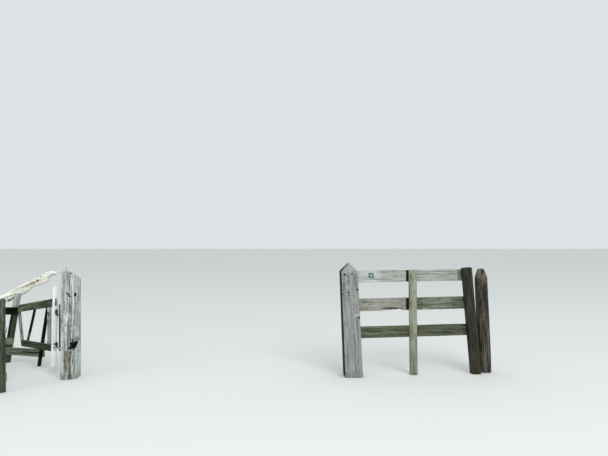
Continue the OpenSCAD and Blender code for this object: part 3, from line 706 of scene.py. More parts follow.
@dataclass
class Timber(Metric):
    """One weathered timber: a grid rolled round its grain, with its marks in rows of millimetres."""

    node: str
    finish: Finish
    seed: float
    grid: tuple[int, int]
    body: str = GATEWAY
    shape: Shape = Shape.SQUARE
    axes: tuple[Vector, Vector] = (UP, RIGHT)
    arris: float = 5.0
    wear: float = 2.0
    bow: float = 2.0
    ragged: float = 2.0
    taper: float = 1.0
    slant: float = 0.0
    grounded: bool = False
    head: Optional[End] = None
    foot: Optional[End] = None
    section: Optional[Section] = None
    carve: Optional[Carving] = None
    tenon: Optional[Tenon] = None
    cracks: Marks = ()
    knots: Marks = ()
    patches: Marks = ()
    rings: int = 8
    tenon_rows: int = 10
    flat_share: float = 0.3
    mark_reach: float = 1.6
    rim_rise: float = 1.2 * MM
    end_wear: float = 2.5 * MM
    end_zone: float = 30 * MM
    crack_start: float = 60 * MM
    crack_end: float = 80 * MM
    sway: float = 0.6
    halvings: int = 22

    def build(self) -> None:
        """Builds the timber and puts it on its body."""
        self.around, self.rows = self.grid
        self.stick = Stick.of(self.node, *self.axes)
        girth = self.stick.width + self.stick.depth
        self.perimeter = girth * (2 if self.shape is Shape.SQUARE else math.pi / 2)
        self.splits = [Crack(face, *row) for face, *rows in self.cracks for row in rows]
        self.turns = [self.turn_of(split.face, split.place) for split in self.splits]
        self.holes = [Knot(face, *row) for face, *rows in self.knots for row in rows]
        self.stains = [Patch(*row) for row in self.patches]
        bm = rolled(self.around, 2 * self.rings + self.rows, self.row)
        finish_piece(bm, self.node + "_timber", self.finish, self.body, [self.node])

    def outline(self, turn: float) -> Spot:
        """A point of the section.

        Args:
            turn: how far round the section, from 0 to 1.

        Returns:
            Its place across and through, the outward direction's two parts, and whether it is on an arris.
        """
        w, d = self.stick.width / 2, self.stick.depth / 2
        if self.shape is Shape.HALF_ROUND and turn < self.flat_share:
            f = turn / self.flat_share
            return w * (1 - 2 * f), d, 0.0, 1.0, 1.0 if f < 0.06 or f > 0.94 else 0.0
        if self.shape is not Shape.SQUARE:
            whole = self.shape is Shape.ROUND
            angle = turn * math.tau if whole else math.pi * (1 + (turn - self.flat_share) / (1 - self.flat_share))
            c, s = math.cos(angle), math.sin(angle)
            return w * c, d * s if whole else d + 2 * d * s, c, s, 0.0
        side, f = divmod((turn + 0.125) * 4, 1.0)
        f = self.spread(f)
        x, y = ((w, d * f), (-w * f, d), (-w, -d * f), (w * f, -d))[int(side) % 4]
        r = min(self.arris, w * 0.9, d * 0.9)
        inner_x, inner_y = max(-w + r, min(w - r, x)), max(-d + r, min(d - r, y))
        out = Vector((x - inner_x, y - inner_y))
        edge = 1.0 if abs(out.x) > 1e-6 and abs(out.y) > 1e-6 else 0.0
        out.normalize()
        return inner_x + out.x * r, inner_y + out.y * r, out.x, out.y, edge

    @staticmethod
    def spread(f: float) -> float:
        """Place on a face from -1 to 1, with the columns closer together at the arrises."""
        return 2 * (f - 0.11 * math.sin(math.tau * f)) - 1

    def middle(self, face: Face) -> float:
        """The turn at the middle of a face."""
        return (1 + self.flat_share) / 2 if self.shape is Shape.HALF_ROUND and face is FRONT else face.value

    def turn_of(self, face: Face, place: float) -> float:
        """How far round the section a place on a face is.

        Args:
            face: the face.
            place: distance from the face's middle, across or through.

        Returns:
            The turn, from 0 to 1.
        """
        x, y = OUTWARD[face]
        if self.shape is not Shape.SQUARE:
            return (self.middle(face) + (x - y) * place / self.perimeter) % 1.0
        half = (self.stick.depth if x else self.stick.width) / 2
        target = max(-0.98, min(0.98, (x - y) * place / half))
        low, high = 0.0, 1.0
        for _ in range(self.halvings):
            mid = (low + high) / 2
            low, high = (mid, high) if self.spread(mid) < target else (low, mid)
        return (face.value + (low - 0.5) / 4) % 1.0

    def gap(self, mark: Union[Knot, Patch], turn: float, spot: Spot) -> float:
        """How far round the section a point is from a mark.

        Args:
            mark: the knot or the patch.
            turn: how far round the section the point is.
            spot: its place and outward direction.

        Returns:
            The distance, which is far when the point isn't on the mark's face.
        """
        x, y = OUTWARD[mark.face]
        if self.shape is not Shape.SQUARE:
            return (x - y) * ((turn - self.middle(mark.face) + 0.5) % 1.0 - 0.5) * self.perimeter - mark.place
        return 9.0 if spot[2] * x + spot[3] * y < 0.5 else spot[1 if x else 0] - mark.place

    def columns(self, a: float) -> list[list[float]]:
        """Where the columns stand round the section at distance a, drawn in to the cracks.

        Args:
            a: distance along the timber.

        Returns:
            The turn of each column, how deep in a crack it is from 0 to 1, and that crack's depth there.
        """
        n = self.around
        columns = [[k / n, 0.0, 0.0] for k in range(n)]
        for i, (split, mid) in enumerate(zip(self.splits, self.turns)):
            taper = smooth(split.start, split.start + self.crack_start, a)
            taper *= smooth(split.end, split.end - self.crack_end, a)
            if taper <= 0:
                continue
            sway = waver(a * 5, i * 7.3, self.seed) * self.sway / n
            half = split.width / 2 / self.perimeter * (0.5 + 0.5 * taper)
            first = round(mid * n) - 1
            for k in range(3):
                column = columns[(first + k) % n]
                column[0] += ((mid + sway + (k - 1) * half - column[0] + 0.5) % 1.0 - 0.5) * taper
            depth = split.depth * taper * (0.75 + 0.5 * waver(a * 9, i, self.seed))
            columns[(first + 1) % n][1:] = taper, depth
        return [[turn % 1.0, deep, depth] for turn, deep, depth in columns]

    def ends(self, u: float, v: float) -> tuple[float, float]:
        """Where the timber starts and ends along a line of grain.

        Args:
            u: the line's place across.
            v: its place through.

        Returns:
            The distances of both ends.
        """
        low, high = 0.0, self.stick.length
        if self.grounded:
            low = -self.stick.place(0.0, u, v).z / self.stick.along.z
        elif self.foot is not None:
            low = self.foot(u, v)
        if self.head is not None:
            high = self.head(u, v)
        elif self.slant:
            high += (u / self.taper - self.stick.width / 2) * self.taper * math.tan(math.radians(self.slant))
        return low, high

    def along_at(self, j: int, low: float, high: float) -> tuple[float, bool]:
        """Where a row stands along the timber.

        Args:
            j: the row's number.
            low: where the timber starts.
            high: where it ends.

        Returns:
            The row's distance along, and whether it is on the tenon.
        """
        k = min(self.rows, max(0, j - self.rings))
        if self.tenon is None:
            return low + (high - low) * k / self.rows, False
        body = self.rows - self.tenon_rows
        shoulder = high - self.tenon.length
        if k <= body:
            return low + (shoulder - low) * k / body, False
        return shoulder + (high - shoulder) * (k - body - 1) / (self.tenon_rows - 1), True

    def row(self, j: int) -> list[Skin]:
        """The points of one row, from the first end's middle to the last end's middle."""
        ring, share = ring_share(j, self.rings, self.rows), min(1.0, max(0.0, (j - self.rings) / self.rows))
        return [self.point(j, ring, share, *column) for column in self.columns(share * self.stick.length)]

    def worn(self, a: float, turn: float, spot: Spot, near_end: float) -> float:
        """How far the weather has taken a point in.

        Args:
            a: distance along the timber.
            turn: how far round the section.
            spot: place and outward direction, and whether it is on an arris.
            near_end: how near an end it is, from 0 to 1.

        Returns:
            The distance inward.
        """
        u, v, _, _, edge = spot
        seed = self.seed
        wide = waver(a * 2.2, u * 9, v * 9 + seed * 5)
        ripple = waver(a * 9, u * 46 + seed, v * 46) + 0.5 * waver(a * 16, u * 120 + seed * 2, v * 120)
        inward = self.wear * (0.55 + 0.45 * wide) + 0.7 * MM * (ripple + 1)
        inward += edge * self.arris * 0.5 * max(0.0, 0.5 + waver(a * 7, turn * 11, seed * 3))
        return inward + near_end * self.end_wear * (0.6 + waver(turn * 9, seed, a * 4))

    def point(self, j: int, ring: float, share: float, turn: float, deep: float, depth: float) -> Skin:
        """One worn point of the timber.

        Args:
            j: the row's number.
            ring: 1 on the sides, less toward the middle of an end.
            share: how far along the timber, from 0 to 1.
            turn: how far round the section.
            deep: how deep in a crack it is, from 0 to 1.
            depth: depth of that crack.

        Returns:
            The point.
        """
        seed = self.seed
        u, v, nu, nv, edge = self.outline(turn)
        narrow = 1.0 + (self.taper - 1.0) * share
        u, v = u * narrow, v * narrow
        low, high = self.ends(u * ring, v * ring)
        a, thin = self.along_at(j, low, high)
        if thin:
            u, v = u * self.tenon.width / self.stick.width, v * self.tenon.depth / self.stick.depth
        crack, heart, tone, moss = self.looks(turn, a, (u, v, nu, nv, edge))
        if self.section is not None:
            u, v, nu, nv, dark = self.section(a, (u, v, nu, nv, 0.0))
            crack = max(crack, dark)
        spot = (u, v, nu, nv, edge)
        near_end = smooth(self.end_zone, 0.0, min(a - low, high - a))
        inward = depth + self.worn(a, turn, spot, near_end)
        for hole in self.holes:
            reach = math.hypot(self.gap(hole, turn, spot), a - hole.at) / hole.radius
            if reach < self.mark_reach:
                rim = smooth(self.mark_reach, 1.1, reach) * smooth(0.7, 1.1, reach)
                inward += hole.depth * smooth(1.0, 0.45, reach) - self.rim_rise * rim
                # A hole's inside is painted dark: painted shade in the recess.
                crack = max(crack, hole.dark * smooth(1.2, 0.75, reach))
        u += self.bow * waver(a * 1.3, seed * 4, 0) - nu * inward
        v += self.bow * waver(a * 1.3, seed * 4, 9) - nv * inward
        if ring < 1.0:
            u, v = u * ring, v * ring
            rough = waver(u * 60 + seed, v * 60, seed) * self.ragged
            if share > 0.5:
                a = min(a + rough, high + self.ragged * 0.3)
            else:
                a = low if self.grounded else a - rough
            crack = max(crack, smooth(0.35, 0.6, waver(u * 90, v * 90, seed)) * 0.5)
        if self.carve is not None:
            lift, dark, brown = self.carve(a, u)
            u, crack, heart = u + lift, max(crack, dark), max(heart, brown)
        grain = Vector((a + seed * 3.7, u + seed * 1.3, v + seed * 2.1))
        # Points deep in a crack are painted dark: painted shade inside the crack.
        return Skin(self.stick.place(a, u, v), grain, min(1.0, max(crack, 0.85 * deep)), heart,
                    edge if 0 < share < 1 else 0.5, tone, moss)

    def looks(self, turn: float, a: float, spot: Spot) -> list[float]:
        """What the patches do to a point.

        Args:
            turn: how far round the section.
            a: distance along the timber.
            spot: place and outward direction.

        Returns:
            How much near-black painted shadow it gets, how brown, how pale or dark (partly painted highlight and
            painted shade), and how mossy it is.
        """
        found = dict.fromkeys(Tone, 0.0)
        tone = 0.0
        for k, patch in enumerate(self.stains):
            across = 0.0 if patch.face is None else self.gap(patch, turn, spot) / patch.half_width
            reach = max(abs(across), abs(a - patch.at) / patch.half_length)
            if reach > self.mark_reach:
                continue
            reach += patch.fray * waver(a * 22, spot[0] * 60 + k, spot[1] * 60 + self.seed)
            weight = patch.strength * smooth(1.12, 0.55, reach)
            found[patch.tone] = max(found[patch.tone], weight)
            tone += {PALE: weight, DARK: -weight}.get(patch.tone, 0.0)
        return [found[BLACK], found[BROWN], max(-1.0, min(1.0, tone)), found[MOSSY]]


@dataclass
class Rod:
    """A thin round piece bent along a route: a splinter, a staple or a curl."""

    route: Sequence[Sequence[float]]
    radii: Sequence[float]
    seed: float = 1.0
    around: int = 12
    steps: int = 10
    rows: int = 0
    caps: int = 3
    rough: float = 0.0
    unit: float = 1.0

    def __post_init__(self) -> None:
        """Turns the route and the radii into metres, and counts the rows along the rod."""
        self.route = [Vector(point) * self.unit for point in self.route]
        self.radii = [radius * self.unit for radius in self.radii]
        self.rows = self.rows or self.steps * (len(self.route) - 1)

    def spine(self, t: float) -> tuple[Vector, Vector, float]:
        """A point of the rod's middle line.

        Args:
            t: share of the route.

        Returns:
            Its place, its direction and the rod's radius there.
        """
        n = len(self.route) - 1
        k = min(n - 1, int(t * n))
        f = t * n - k
        p0, p1, p2, p3 = (self.route[min(n, max(0, k + d))] for d in (-1, 0, 1, 2))
        bend, twist = 2 * p0 - 5 * p1 + 4 * p2 - p3, 3 * p1 - p0 - 3 * p2 + p3
        place = 0.5 * (2 * p1 + (p2 - p0) * f + bend * f ** 2 + twist * f ** 3)
        way = 0.5 * ((p2 - p0) + 2 * bend * f + 3 * twist * f ** 2)
        return place, way.normalized(), self.radii[k] + (self.radii[k + 1] - self.radii[k]) * smooth(0.0, 1.0, f)

    def station(self, j: int) -> tuple[float, Vector, Vector, Vector, float, float]:
        """What a row is rolled round.

        Args:
            j: the row's number.

        Returns:
            Its share of the route, its middle, the ways to its side and its top, its radius and its ring share.
        """
        t = min(1.0, max(0.0, (j - self.caps) / self.rows))
        place, way, radius = self.spine(t)
        side = way.cross(UP if abs(way.z) < 0.9 else RIGHT).normalized()
        return t, place, side, side.cross(way), radius, ring_share(j, self.caps, self.rows)

    def row(self, j: int) -> list[Skin]:
        """The points of one row round the rod.

        Args:
            j: the row's number.

        Returns:
            Its points in order.
        """
        t, place, side, top, radius, ring = self.station(j)
        skins = []
        for i in range(self.around):
            c, s = math.cos(math.tau * i / self.around), math.sin(math.tau * i / self.around)
            lump = 1 + self.rough * waver(c * 1.5, s * 1.5, t * len(self.route) * 2 + self.seed)
            r = radius * lump * ring
            grain = Vector((t * self.rows * 0.01, c * radius + self.seed, s * radius))
            skins.append(Skin(place + side * c * r + top * s * r, grain))
        return skins

    def mesh(self) -> Mesh:
        """The rod's closed mesh."""
        return rolled(self.around, 2 * self.caps + self.rows, self.row)


@dataclass
class OldGatepost:
    """The old oak gatepost: a slanted weathered top, long checks, a strap notch and a rotted foot."""

    width: float = 152 * MM
    depth: float = 206 * MM
    height: float = 1205 * MM
    top_fall: float = 36 * MM
    back_fall: float = 64 * MM
    rot_height: float = 370 * MM
    rot_depth: float = 38 * MM
    hollow_depth: float = 128 * MM
    hole_height: float = 940 * MM
    notch_slant: float = 48.0
    spike: Sequence[Place] = ((-55, -4, 1150), (-53, -4, 1190), (-51, -4, 1222), (-51, -2, 1243))
    chip: Sequence[Place] = ((-28, 16, 1140), (-26, 18, 1165), (-25, 18, 1186))
    spike_radii: Sequence[float] = (9, 8.5, 7.5, 2)
    chip_radii: Sequence[float] = (8, 6, 1.5)

    def head(self, u: float, v: float) -> float:
        """The weathered top.

        Args:
            u: place across.
            v: place through.

        Returns:
            Its height there.
        """
        side = self.width * 0.19
        fall = self.top_fall * max(0.0, (u - side) / (self.width / 2 - side))
        slope = self.back_fall * (v + self.depth / 2) / self.depth
        bite = 7 * MM * smooth(0.1, 0.5, waver(u * 34, v * 22, 3.0))
        return self.height - fall - slope - bite - 3 * MM * (1 + waver(u * 70, v * 60, 3.0))

    def rot(self, a: float) -> tuple[float, float]:
        """How far the foot has rotted away.

        Args:
            a: height above the ground.

        Returns:
            How far right the front face still stands, and how far back the right face is eaten away.
        """
        up, hollow = a / self.rot_height, self.hollow_depth / self.rot_depth
        edge = np.interp(up, (0, 0.4, 0.62, 0.8, 0.97, 1.02, 1.1, 1.13),
                         (0.07, 0.1, 0.05, 0.12, 0.1, 0.25, 0.34, 0.5))
        wall = np.interp(up, (0, 0.45, 0.85, 0.96, 1.06, 1.14, 1.15),
                         (0.9, 1, 0.8, hollow * 0.7, hollow, hollow * 0.92, 0))
        return (self.width * float(edge) + 5 * MM * waver(a * 38, 4.0, 0.0),
                self.rot_depth * float(wall) - self.depth / 2)

    def rotted(self, a: float, spot: Spot) -> Spot:
        """Folds the section's front right corner in where the foot has rotted away.

        Args:
            a: height of the point.
            spot: its place and outward direction.

        Returns:
            The new place and outward direction, and how dark the point is painted: painted shade in the rotted
            hollow, with the rotten wood's own dark.
        """
        u, v, nu, nv, _ = spot
        edge, wall = self.rot(a)
        front = -self.depth / 2
        run, reach = self.width / 2 - edge, wall - front
        on_front, on_side = nv < -0.5 and u > edge, nu > 0.5 and v < wall
        if a > self.rot_height * 1.15 or run < MM or reach < MM or not (on_front or on_side):
            return self.notched(a, spot)
        s = min(run, u - edge) if on_front else run + max(0.0, v - front)
        fibre = waver(a * 7, s * 190, 2.0)
        deep = smooth(self.rot_height * 0.84, self.rot_height * 0.97, a)
        if s < reach:
            dark = 0.10 + 0.20 * s / reach + 0.55 * smooth(0.05, 0.35, fibre)
            return edge + 3 * MM * fibre, front + s, 1.0, 0.0, max(deep, dark)
        groove = 5 * MM * (0.5 + waver(a * 5, s * 120, 9.0))
        dark = max(deep, 0.06 + 0.80 * smooth(0.10, 0.35, fibre) + 0.35 * smooth(0.02, 0.0, s - reach))
        at_leg = smooth(run + reach, run + reach - 0.02, s)
        return edge + s - reach, wall + groove * at_leg, 0.0, -1.0, dark * at_leg

    def notched(self, a: float, spot: Spot) -> Spot:
        """Cuts the slanting notch of the old hinge strap in the front face.

        Args:
            a: height of the point.
            spot: its place and outward direction.

        Returns:
            The new place and outward direction, and how dark the point is.
        """
        u, v, nu, nv, _ = spot
        if nv > -0.5 or abs(a - self.hole_height) > 60 * MM:
            return u, v, nu, nv, 0.0
        off = turned(self.notch_slant, u - 12 * MM, a - self.hole_height)
        inside = smooth(37 * MM, 29 * MM, abs(off.x)) * smooth(9 * MM, 5 * MM, abs(off.y))
        return u, v + 20 * MM * inside, nu, nv, inside

    def build(self) -> None:
        """Builds the post, the splinters on its top and the batten that takes the hooks."""
        hole = self.hole_height / MM
        Timber(
            "old_gate_post", OAK, 1, (132, 230), arris=9, ragged=5, grounded=True, head=self.head,
            section=self.rotted,
            cracks=((FRONT, (-52, 300, 1140, 4, 12), (-28, 50, 720, 5, 16), (8, 160, 460, 8, 24),
                (24, 720, 1190, 6, 20), (48, 620, 1100, 3, 9), (14, 500, 700, 7, 18)),
                (RIGHT_SIDE, (-84, 900, 1160, 5, 14), (-78, 470, 800, 5, 14), (-40, 520, 900, 4, 10),
                (-12, 450, 740, 5, 12), (18, 720, 1120, 4, 11), (52, 400, 760, 4, 10), (82, 300, 1060, 4, 10),
                (36, 20, 300, 4, 10)), (BACK, (-30, 100, 900, 6, 18), (40, 300, 1100, 5, 14)),
                (LEFT_SIDE, (-30, 200, 1100, 6, 18), (50, 0, 600, 5, 14))),
            knots=((RIGHT_SIDE, (-57.7, hole, 17, 60, 1)), (LEFT_SIDE, (-57.7, hole, 14, 60, 1)),
                (RIGHT_SIDE, (34, 432, 16, 40, 1)), (FRONT, (38, 1178, 9, 20, 1), (30, 800, 11, 6, 0.45),
                (-20, 600, 11, 6, 0.4)), (RIGHT_SIDE, (50, 720, 12, 7, 0.5), (-20, 600, 11, 6, 0.5)),
                (FRONT, (40, 400, 17, 30, 1)), (RIGHT_SIDE, (70, 1020, 11, 5, 0.6), (20, 900, 10, 4, 0.5))),
            patches=((PALE, 320, 220, 0.5, 0.35, FRONT, -60, 20), (BROWN, 220, 130, 0.9, 1.2, FRONT, -18, 22),
                # The dark patch at 500 mm on the front is painted shade.
                (DARK, 500, 140, 0.5, 0.8, FRONT, 16, 34), (PALE, 1030, 170, 0.7, 0.7, FRONT, 52, 24),
                (PALE, 620, 100, 0.8, 0.7, FRONT, -28, 22), (PALE, 400, 100, 0.5, 0.7, FRONT, -6, 10),
                (PALE, 1020, 140, 0.5, 0.9, RIGHT_SIDE, -30, 50), (PALE, 800, 100, 0.5, 0.9, RIGHT_SIDE, 50, 40),
                (PALE, 220, 180, 0.35, 0.9, RIGHT_SIDE, 0, 80), (BROWN, 600, 140, 0.35, 0.9, RIGHT_SIDE, -30, 40),
                (BROWN, 880, 100, 0.3, 0.9, RIGHT_SIDE, 10, 30), (DARK, 30, 50, 0.4, 0.9), (MOSSY, 60, 80, 0.4, 0.9),
                (DARK, 430, 50, 0.7, 0.6, RIGHT_SIDE, -40, 70), (DARK, 400, 60, 0.8, 0.6, FRONT, 58, 22),
                (DARK, 700, 100, 0.75, 0.8, RIGHT_SIDE, -88, 18), (DARK, 860, 50, 0.45, 0.9, RIGHT_SIDE, 10, 20),
                (BLACK, hole, 20, 1, 0.1, RIGHT_SIDE, -70, 38), (DARK, 580, 70, 0.55, 0.9, RIGHT_SIDE, 50, 20),
                (DARK, 1060, 100, 0.5, 0.8, RIGHT_SIDE, 88, 16), (DARK, 600, 1200, 0.2, 0.9, FRONT, 0, 150),
                (MOSSY, 800, 200, 0.3, 0.9, FRONT, -55, 20)),
        ).build()
        splinters = (Rod(self.spike, self.spike_radii, 3.0, rough=0.35, unit=MM),
                     Rod(self.chip, self.chip_radii, 5.0, rough=0.4, unit=MM))
        finish_piece(gathered(rod.mesh() for rod in splinters), "gatepost_splinters", OAK_PALE, GATEWAY)
        Timber(
            "hinge_batten", BATTEN, 9, (48, 90), arris=7, ragged=6,
            cracks=((FRONT, (-6, 30, 450, 4, 9)), (LEFT_SIDE, (10, 100, 500, 5, 10))),
            knots=((FRONT, (4, 280, 9, 5)),),
            patches=((DARK, 100, 120, 0.4), (MOSSY, 350, 200, 0.7)),
        ).build()


@dataclass
class PointedGatepost:
    """The square gatepost with a two-way weathered point."""

    rise: float = 92 * MM
    top_width: float = 191 * MM
    turn: float = 3.0

    def head(self, u: float, v: float) -> float:
        """Height of the point at a place of the section."""
        ridge = self.rise * (1 - abs(u) / (self.top_width / 2))
        return self.shoulder + max(ridge, -0.002) - 2.5 * MM * (1 + waver(u * 50, v * 50, 5.0))

    def build(self) -> None:
        """Builds the post."""
        across = turned(self.turn, 1, 0)
        stick = Stick.of("pointed_gate_post", UP, across)
        self.shoulder = stick.length - self.rise
        taper = self.top_width / stick.width
        Timber(
            "pointed_gate_post", GATEPOST, 2, (128, 210), axes=(UP, across), arris=6, wear=1.6, bow=1.5, taper=taper,
            grounded=True, head=self.head,
            cracks=((FRONT, (-62, 150, 500, 3, 9), (-12, 1020, 1240, 2.5, 7), (20, 50, 550, 3, 10),
                (66, 350, 800, 2.5, 8), (45, 1050, 1220, 2.5, 7)), (LEFT_SIDE, (20, 200, 1100, 5, 12)),
                (RIGHT_SIDE, (30, 100, 900, 5, 12)), (BACK, (-40, 200, 1150, 5, 16), (50, 0, 700, 5, 12))),
            knots=((FRONT, (-55, 1164, 11, 14, 1), (26, 1168, 10, 14, 1), (38, 1186, 8, 10, 0.8),
                (-20, 962, 11, 9, 0.9), (-86, 944, 10, 7, 0.6), (-14, 928, 9, 7, 0.6), (32, 822, 9, 6, 0.4),
                (80, 990, 12, 9, 0.8), (88, 676, 13, 8, 0.9), (20, 716, 9, 5, 0.4), (-20, 1088, 7, 5, 0.5),
                (-4, 1096, 7, 5, 0.5), (-36, 1076, 7, 5, 0.4), (-84, 1058, 8, 5, 0.5), (48, 1070, 7, 5, 0.35),
                (-50, 600, 9, 5, 0.4)), (LEFT_SIDE, (20, 900, 12, 8))),
            # The near-black patch over the whole left side is painted shade.
            patches=((PALE, 702, 20, 1, 0.5, FRONT, 55, 32), (BLACK, 600, 850, 1, 0.05, LEFT_SIDE, 0, 200),
                (PALE, 1220, 60, 0.45), (DARK, 30, 60, 0.35, 0.8), (MOSSY, 160, 180, 0.4, 0.8),
                (DARK, 920, 160, 0.35, 0.9, FRONT, -78, 14), (DARK, 1080, 20, 0.3, 0.9, FRONT, -20, 30),
                (DARK, 860, 70, 0.35, 0.9, FRONT, -10, 12), (PALE, 860, 220, 0.35, 0.7, FRONT, -45, 20),
                (BROWN, 950, 250, 0.22, 0.9, FRONT, 35, 50)),
        ).build()


@dataclass
class Fence:
    """The post-and-rail fence beside the pointed gatepost."""

    start: Place = (3216.78 * MM, 100 * MM, 0.0)
    turn: float = 7.4
    middle_depth: float = 141 * MM
    tear_at: float = 357 * MM
    tear_length: float = 225 * MM
    tear_depth: float = 17 * MM
    old_height: float = 1217 * MM
    old_crown: float = 110 * MM
    plate_at: Place = (156 * MM, -20 * MM, 1139.5 * MM)
    plates: Sequence[tuple] = (("plain_plate", PLATE, 60 * MM, 3.6 * MM, 1.2 * MM),
                               ("plain_plate_middle", WORN_PLATE, 27 * MM, 1.6 * MM, 3.0 * MM))

    def at(self, x: float, y: float, z: float) -> Vector:
        """A point of the fence, x along it and y away from the viewer."""
        return Vector(self.start) + turned(self.turn, x, y, z)

    def torn(self, a: float, u: float) -> tuple[float, float, float]:
        """Bites the tear out of the middle rail's lower edge.

        Args:
            a: distance along the rail.
            u: height from its middle.

        Returns:
            How far the point is lifted, how dark it is painted as painted shadow under the torn edge, and how brown
            the fresh wood is.
        """
        t = (a - self.tear_at) / self.tear_length
        bite = float(np.interp(t, (-0.03, 0.05, 0.3, 0.52, 0.66, 0.84, 0.95, 1.0, 1.03),
                               (0, 0.3, 0.45, 0.8, 0.75, 1.1, 0.85, 0.2, 0)))
        edge = -self.middle_depth / 2 + bite * (self.tear_depth + 3 * MM * waver(a * 60, 1.0, 0.0))
        return (edge - u, 0.7, 0.6) if -0.05 < t < 1.05 and u < edge else (0.0, 0.0, 0.0)

    def crowned(self, a: float, spot: Spot) -> Spot:
        """Narrows the old end post toward its broken top.

        Args:
            a: height of the point.
            spot: its place and outward direction.

        Returns:
            The new place and outward direction, and how dark the point is.
        """
        u, v, nu, nv, _ = spot
        t = max(0.0, (a - self.old_height + self.old_crown) / self.old_crown)
        ragged = waver(u * 30, v * 30, a * 14)
        scale = 1 - 0.5 * min(1.0, t) - 0.14 * smooth(0.0, 0.3, t) * smooth(0.0, 0.4, ragged)
        return u * scale, v * scale, nu, nv, 0.9 * smooth(0.15, 0.4, ragged) * smooth(-0.05, 0.4, t)

    def old_top(self, u: float, v: float) -> float:
        """The broken top of the old end post."""
        return self.old_height - 12 * MM * (1 + waver(u * 40, v * 40, 1.0))

    def build(self) -> None:
        """Builds the rails, the posts and the plate."""
        run = turned(self.turn, 1, 0)
        Timber(
            "fence_top_rail", SILVER, 3, (72, 190), axes=(RIGHT, UP), arris=4, wear=1.5,
            cracks=((RAIL_FRONT, (12, 700, 1250, 1.6, 5), (-38, 100, 500, 1.5, 5), (42, 750, 1200, 1.5, 5),
                (-10, 460, 560, 5, 8)), (RAIL_BACK, (10, 100, 1100, 4, 9))),
            knots=((RAIL_FRONT, (-21, 240, 13, 6, 0.8), (6, 578, 8, 4, 0.5), (30, 1020, 11, 3, 0.4)),),
            # The near-black band at 645 mm is painted shadow beside the half-round post.
            patches=((BLACK, 645, 22, 1, 0.05, RAIL_FRONT, 0, 120), (DARK, 1280, 50, 0.6, 0.4, RAIL_FRONT, 0, 90),
                (DARK, 510, 40, 0.5, 0.35, RAIL_FRONT, -10, 10), (BROWN, 1170, 50, 0.35, 0.35, RAIL_FRONT, -45, 20),
                (PALE, 100, 240, 1, 0.3, RAIL_FRONT, 0, 90), (PALE, 420, 160, 0.3, 0.7, RAIL_FRONT, 0, 50),
                (MOSSY, 1100, 250, 0.2, 0.9)),
        ).build()
        Timber(
            "fence_middle_rail", MIDDLE_RAIL, 4, (72, 200), axes=(RIGHT, UP), wear=1.8, carve=self.torn,
            cracks=((RAIL_FRONT, (25, 80, 500, 1.6, 5), (-15, 740, 1250, 2.5, 7), (-46, 300, 600, 5, 12)),
                (RAIL_BACK, (-10, 100, 1100, 4, 9))),
            knots=((RAIL_FRONT, (20, 950, 10, 3, 0.4), (0, 200, 11, 3, 0.5), (30, 140, 10, 3, 0.5)),),
            # The near-black band at 645 mm is painted shadow beside the half-round post, and the near-black strip
            # above the tear is painted shadow under its torn edge.
            patches=((BLACK, 645, 22, 1, 0.05, RAIL_FRONT, 0, 120), (BROWN, 430, 80, 1, 0.35, RAIL_FRONT, -38, 9),
                (BLACK, 500, 100, 0.8, 0.35, RAIL_FRONT, -54, 7), (DARK, 1050, 330, 0.45, 0.2, RAIL_FRONT, -10, 90),
                (MOSSY, 1020, 340, 1, 0.3, RAIL_FRONT, 0, 90), (DARK, 790, 40, 0.5, 0.4, RAIL_FRONT, 0, 90),
                (DARK, 1250, 100, 0.5, 0.6, RAIL_FRONT, 0, 90)),
        ).build()
        Timber(
            "fence_bottom_rail", LOW_RAIL, 5, (56, 130), axes=(RIGHT, UP), wear=1.8,
            cracks=((RAIL_FRONT, (10, 100, 800, 4, 9), (-30, 500, 1200, 4, 9)),),
            patches=((DARK, 900, 500, 0.5, 0.5), (MOSSY, 700, 600, 0.6, 0.6)),
        ).build()
        Timber(
            "half_round_post", HALF_ROUND, 6, (64, 170), shape=Shape.HALF_ROUND, axes=(UP, run), wear=1.2, bow=1.5,
            grounded=True,
            cracks=((FRONT, (-30, 300, 1180, 4, 9), (24, 100, 800, 3, 8)),),
            knots=((FRONT, (10, 950, 8, 3, 0.5)),),
            # The dark strip down the left edge of the front is painted shade.
            patches=((DARK, 600, 750, 0.8, 0.2, FRONT, -78, 20), (PALE, 900, 350, 0.5, 0.5, FRONT, 20, 14),
                (DARK, 1130, 50, 0.5, 0.6, FRONT, -35, 18), (DARK, 100, 200, 0.4, 0.6), (MOSSY, 300, 400, 0.5, 0.8)),
        ).build()
        Timber(
            "fence_end_post", END_POST, 7, (72, 150), axes=(UP, run), arris=6, ragged=4, grounded=True,
            cracks=((FRONT, (12, 300, 1200, 4, 12)), (LEFT_SIDE, (10, 200, 1100, 5, 12)),
                (RIGHT_SIDE, (-20, 100, 1000, 5, 12)), (BACK, (20, 200, 1100, 5, 12))),
            knots=((FRONT, (-20, 850, 9, 5)),),
        ).build()
        Timber(
            "old_end_post", OLD_ROUND, 8, (84, 170), shape=Shape.ROUND, axes=(UP, run), wear=3, bow=3, ragged=8,
            grounded=True, head=self.old_top, section=self.crowned,
            cracks=[(list(Face)[k % 4], (100 * hash01(k) - 50, 100 + 300 * hash01(k + 3), 1160, 6, 18))
                    for k in range(10)],
            patches=((PALE, 1150, 90, 0.5, 0.9), (BROWN, 1100, 120, 0.5, 0.9, FRONT, 0, 70),
                (PALE, 750, 300, 0.4, 0.9, FRONT, -30, 12), (DARK, 940, 160, 0.85, 0.6, FRONT, 0, 70),
                (DARK, 1160, 30, 0.7, 0.8, FRONT, -10, 20)),
        ).build()
        self.plate()

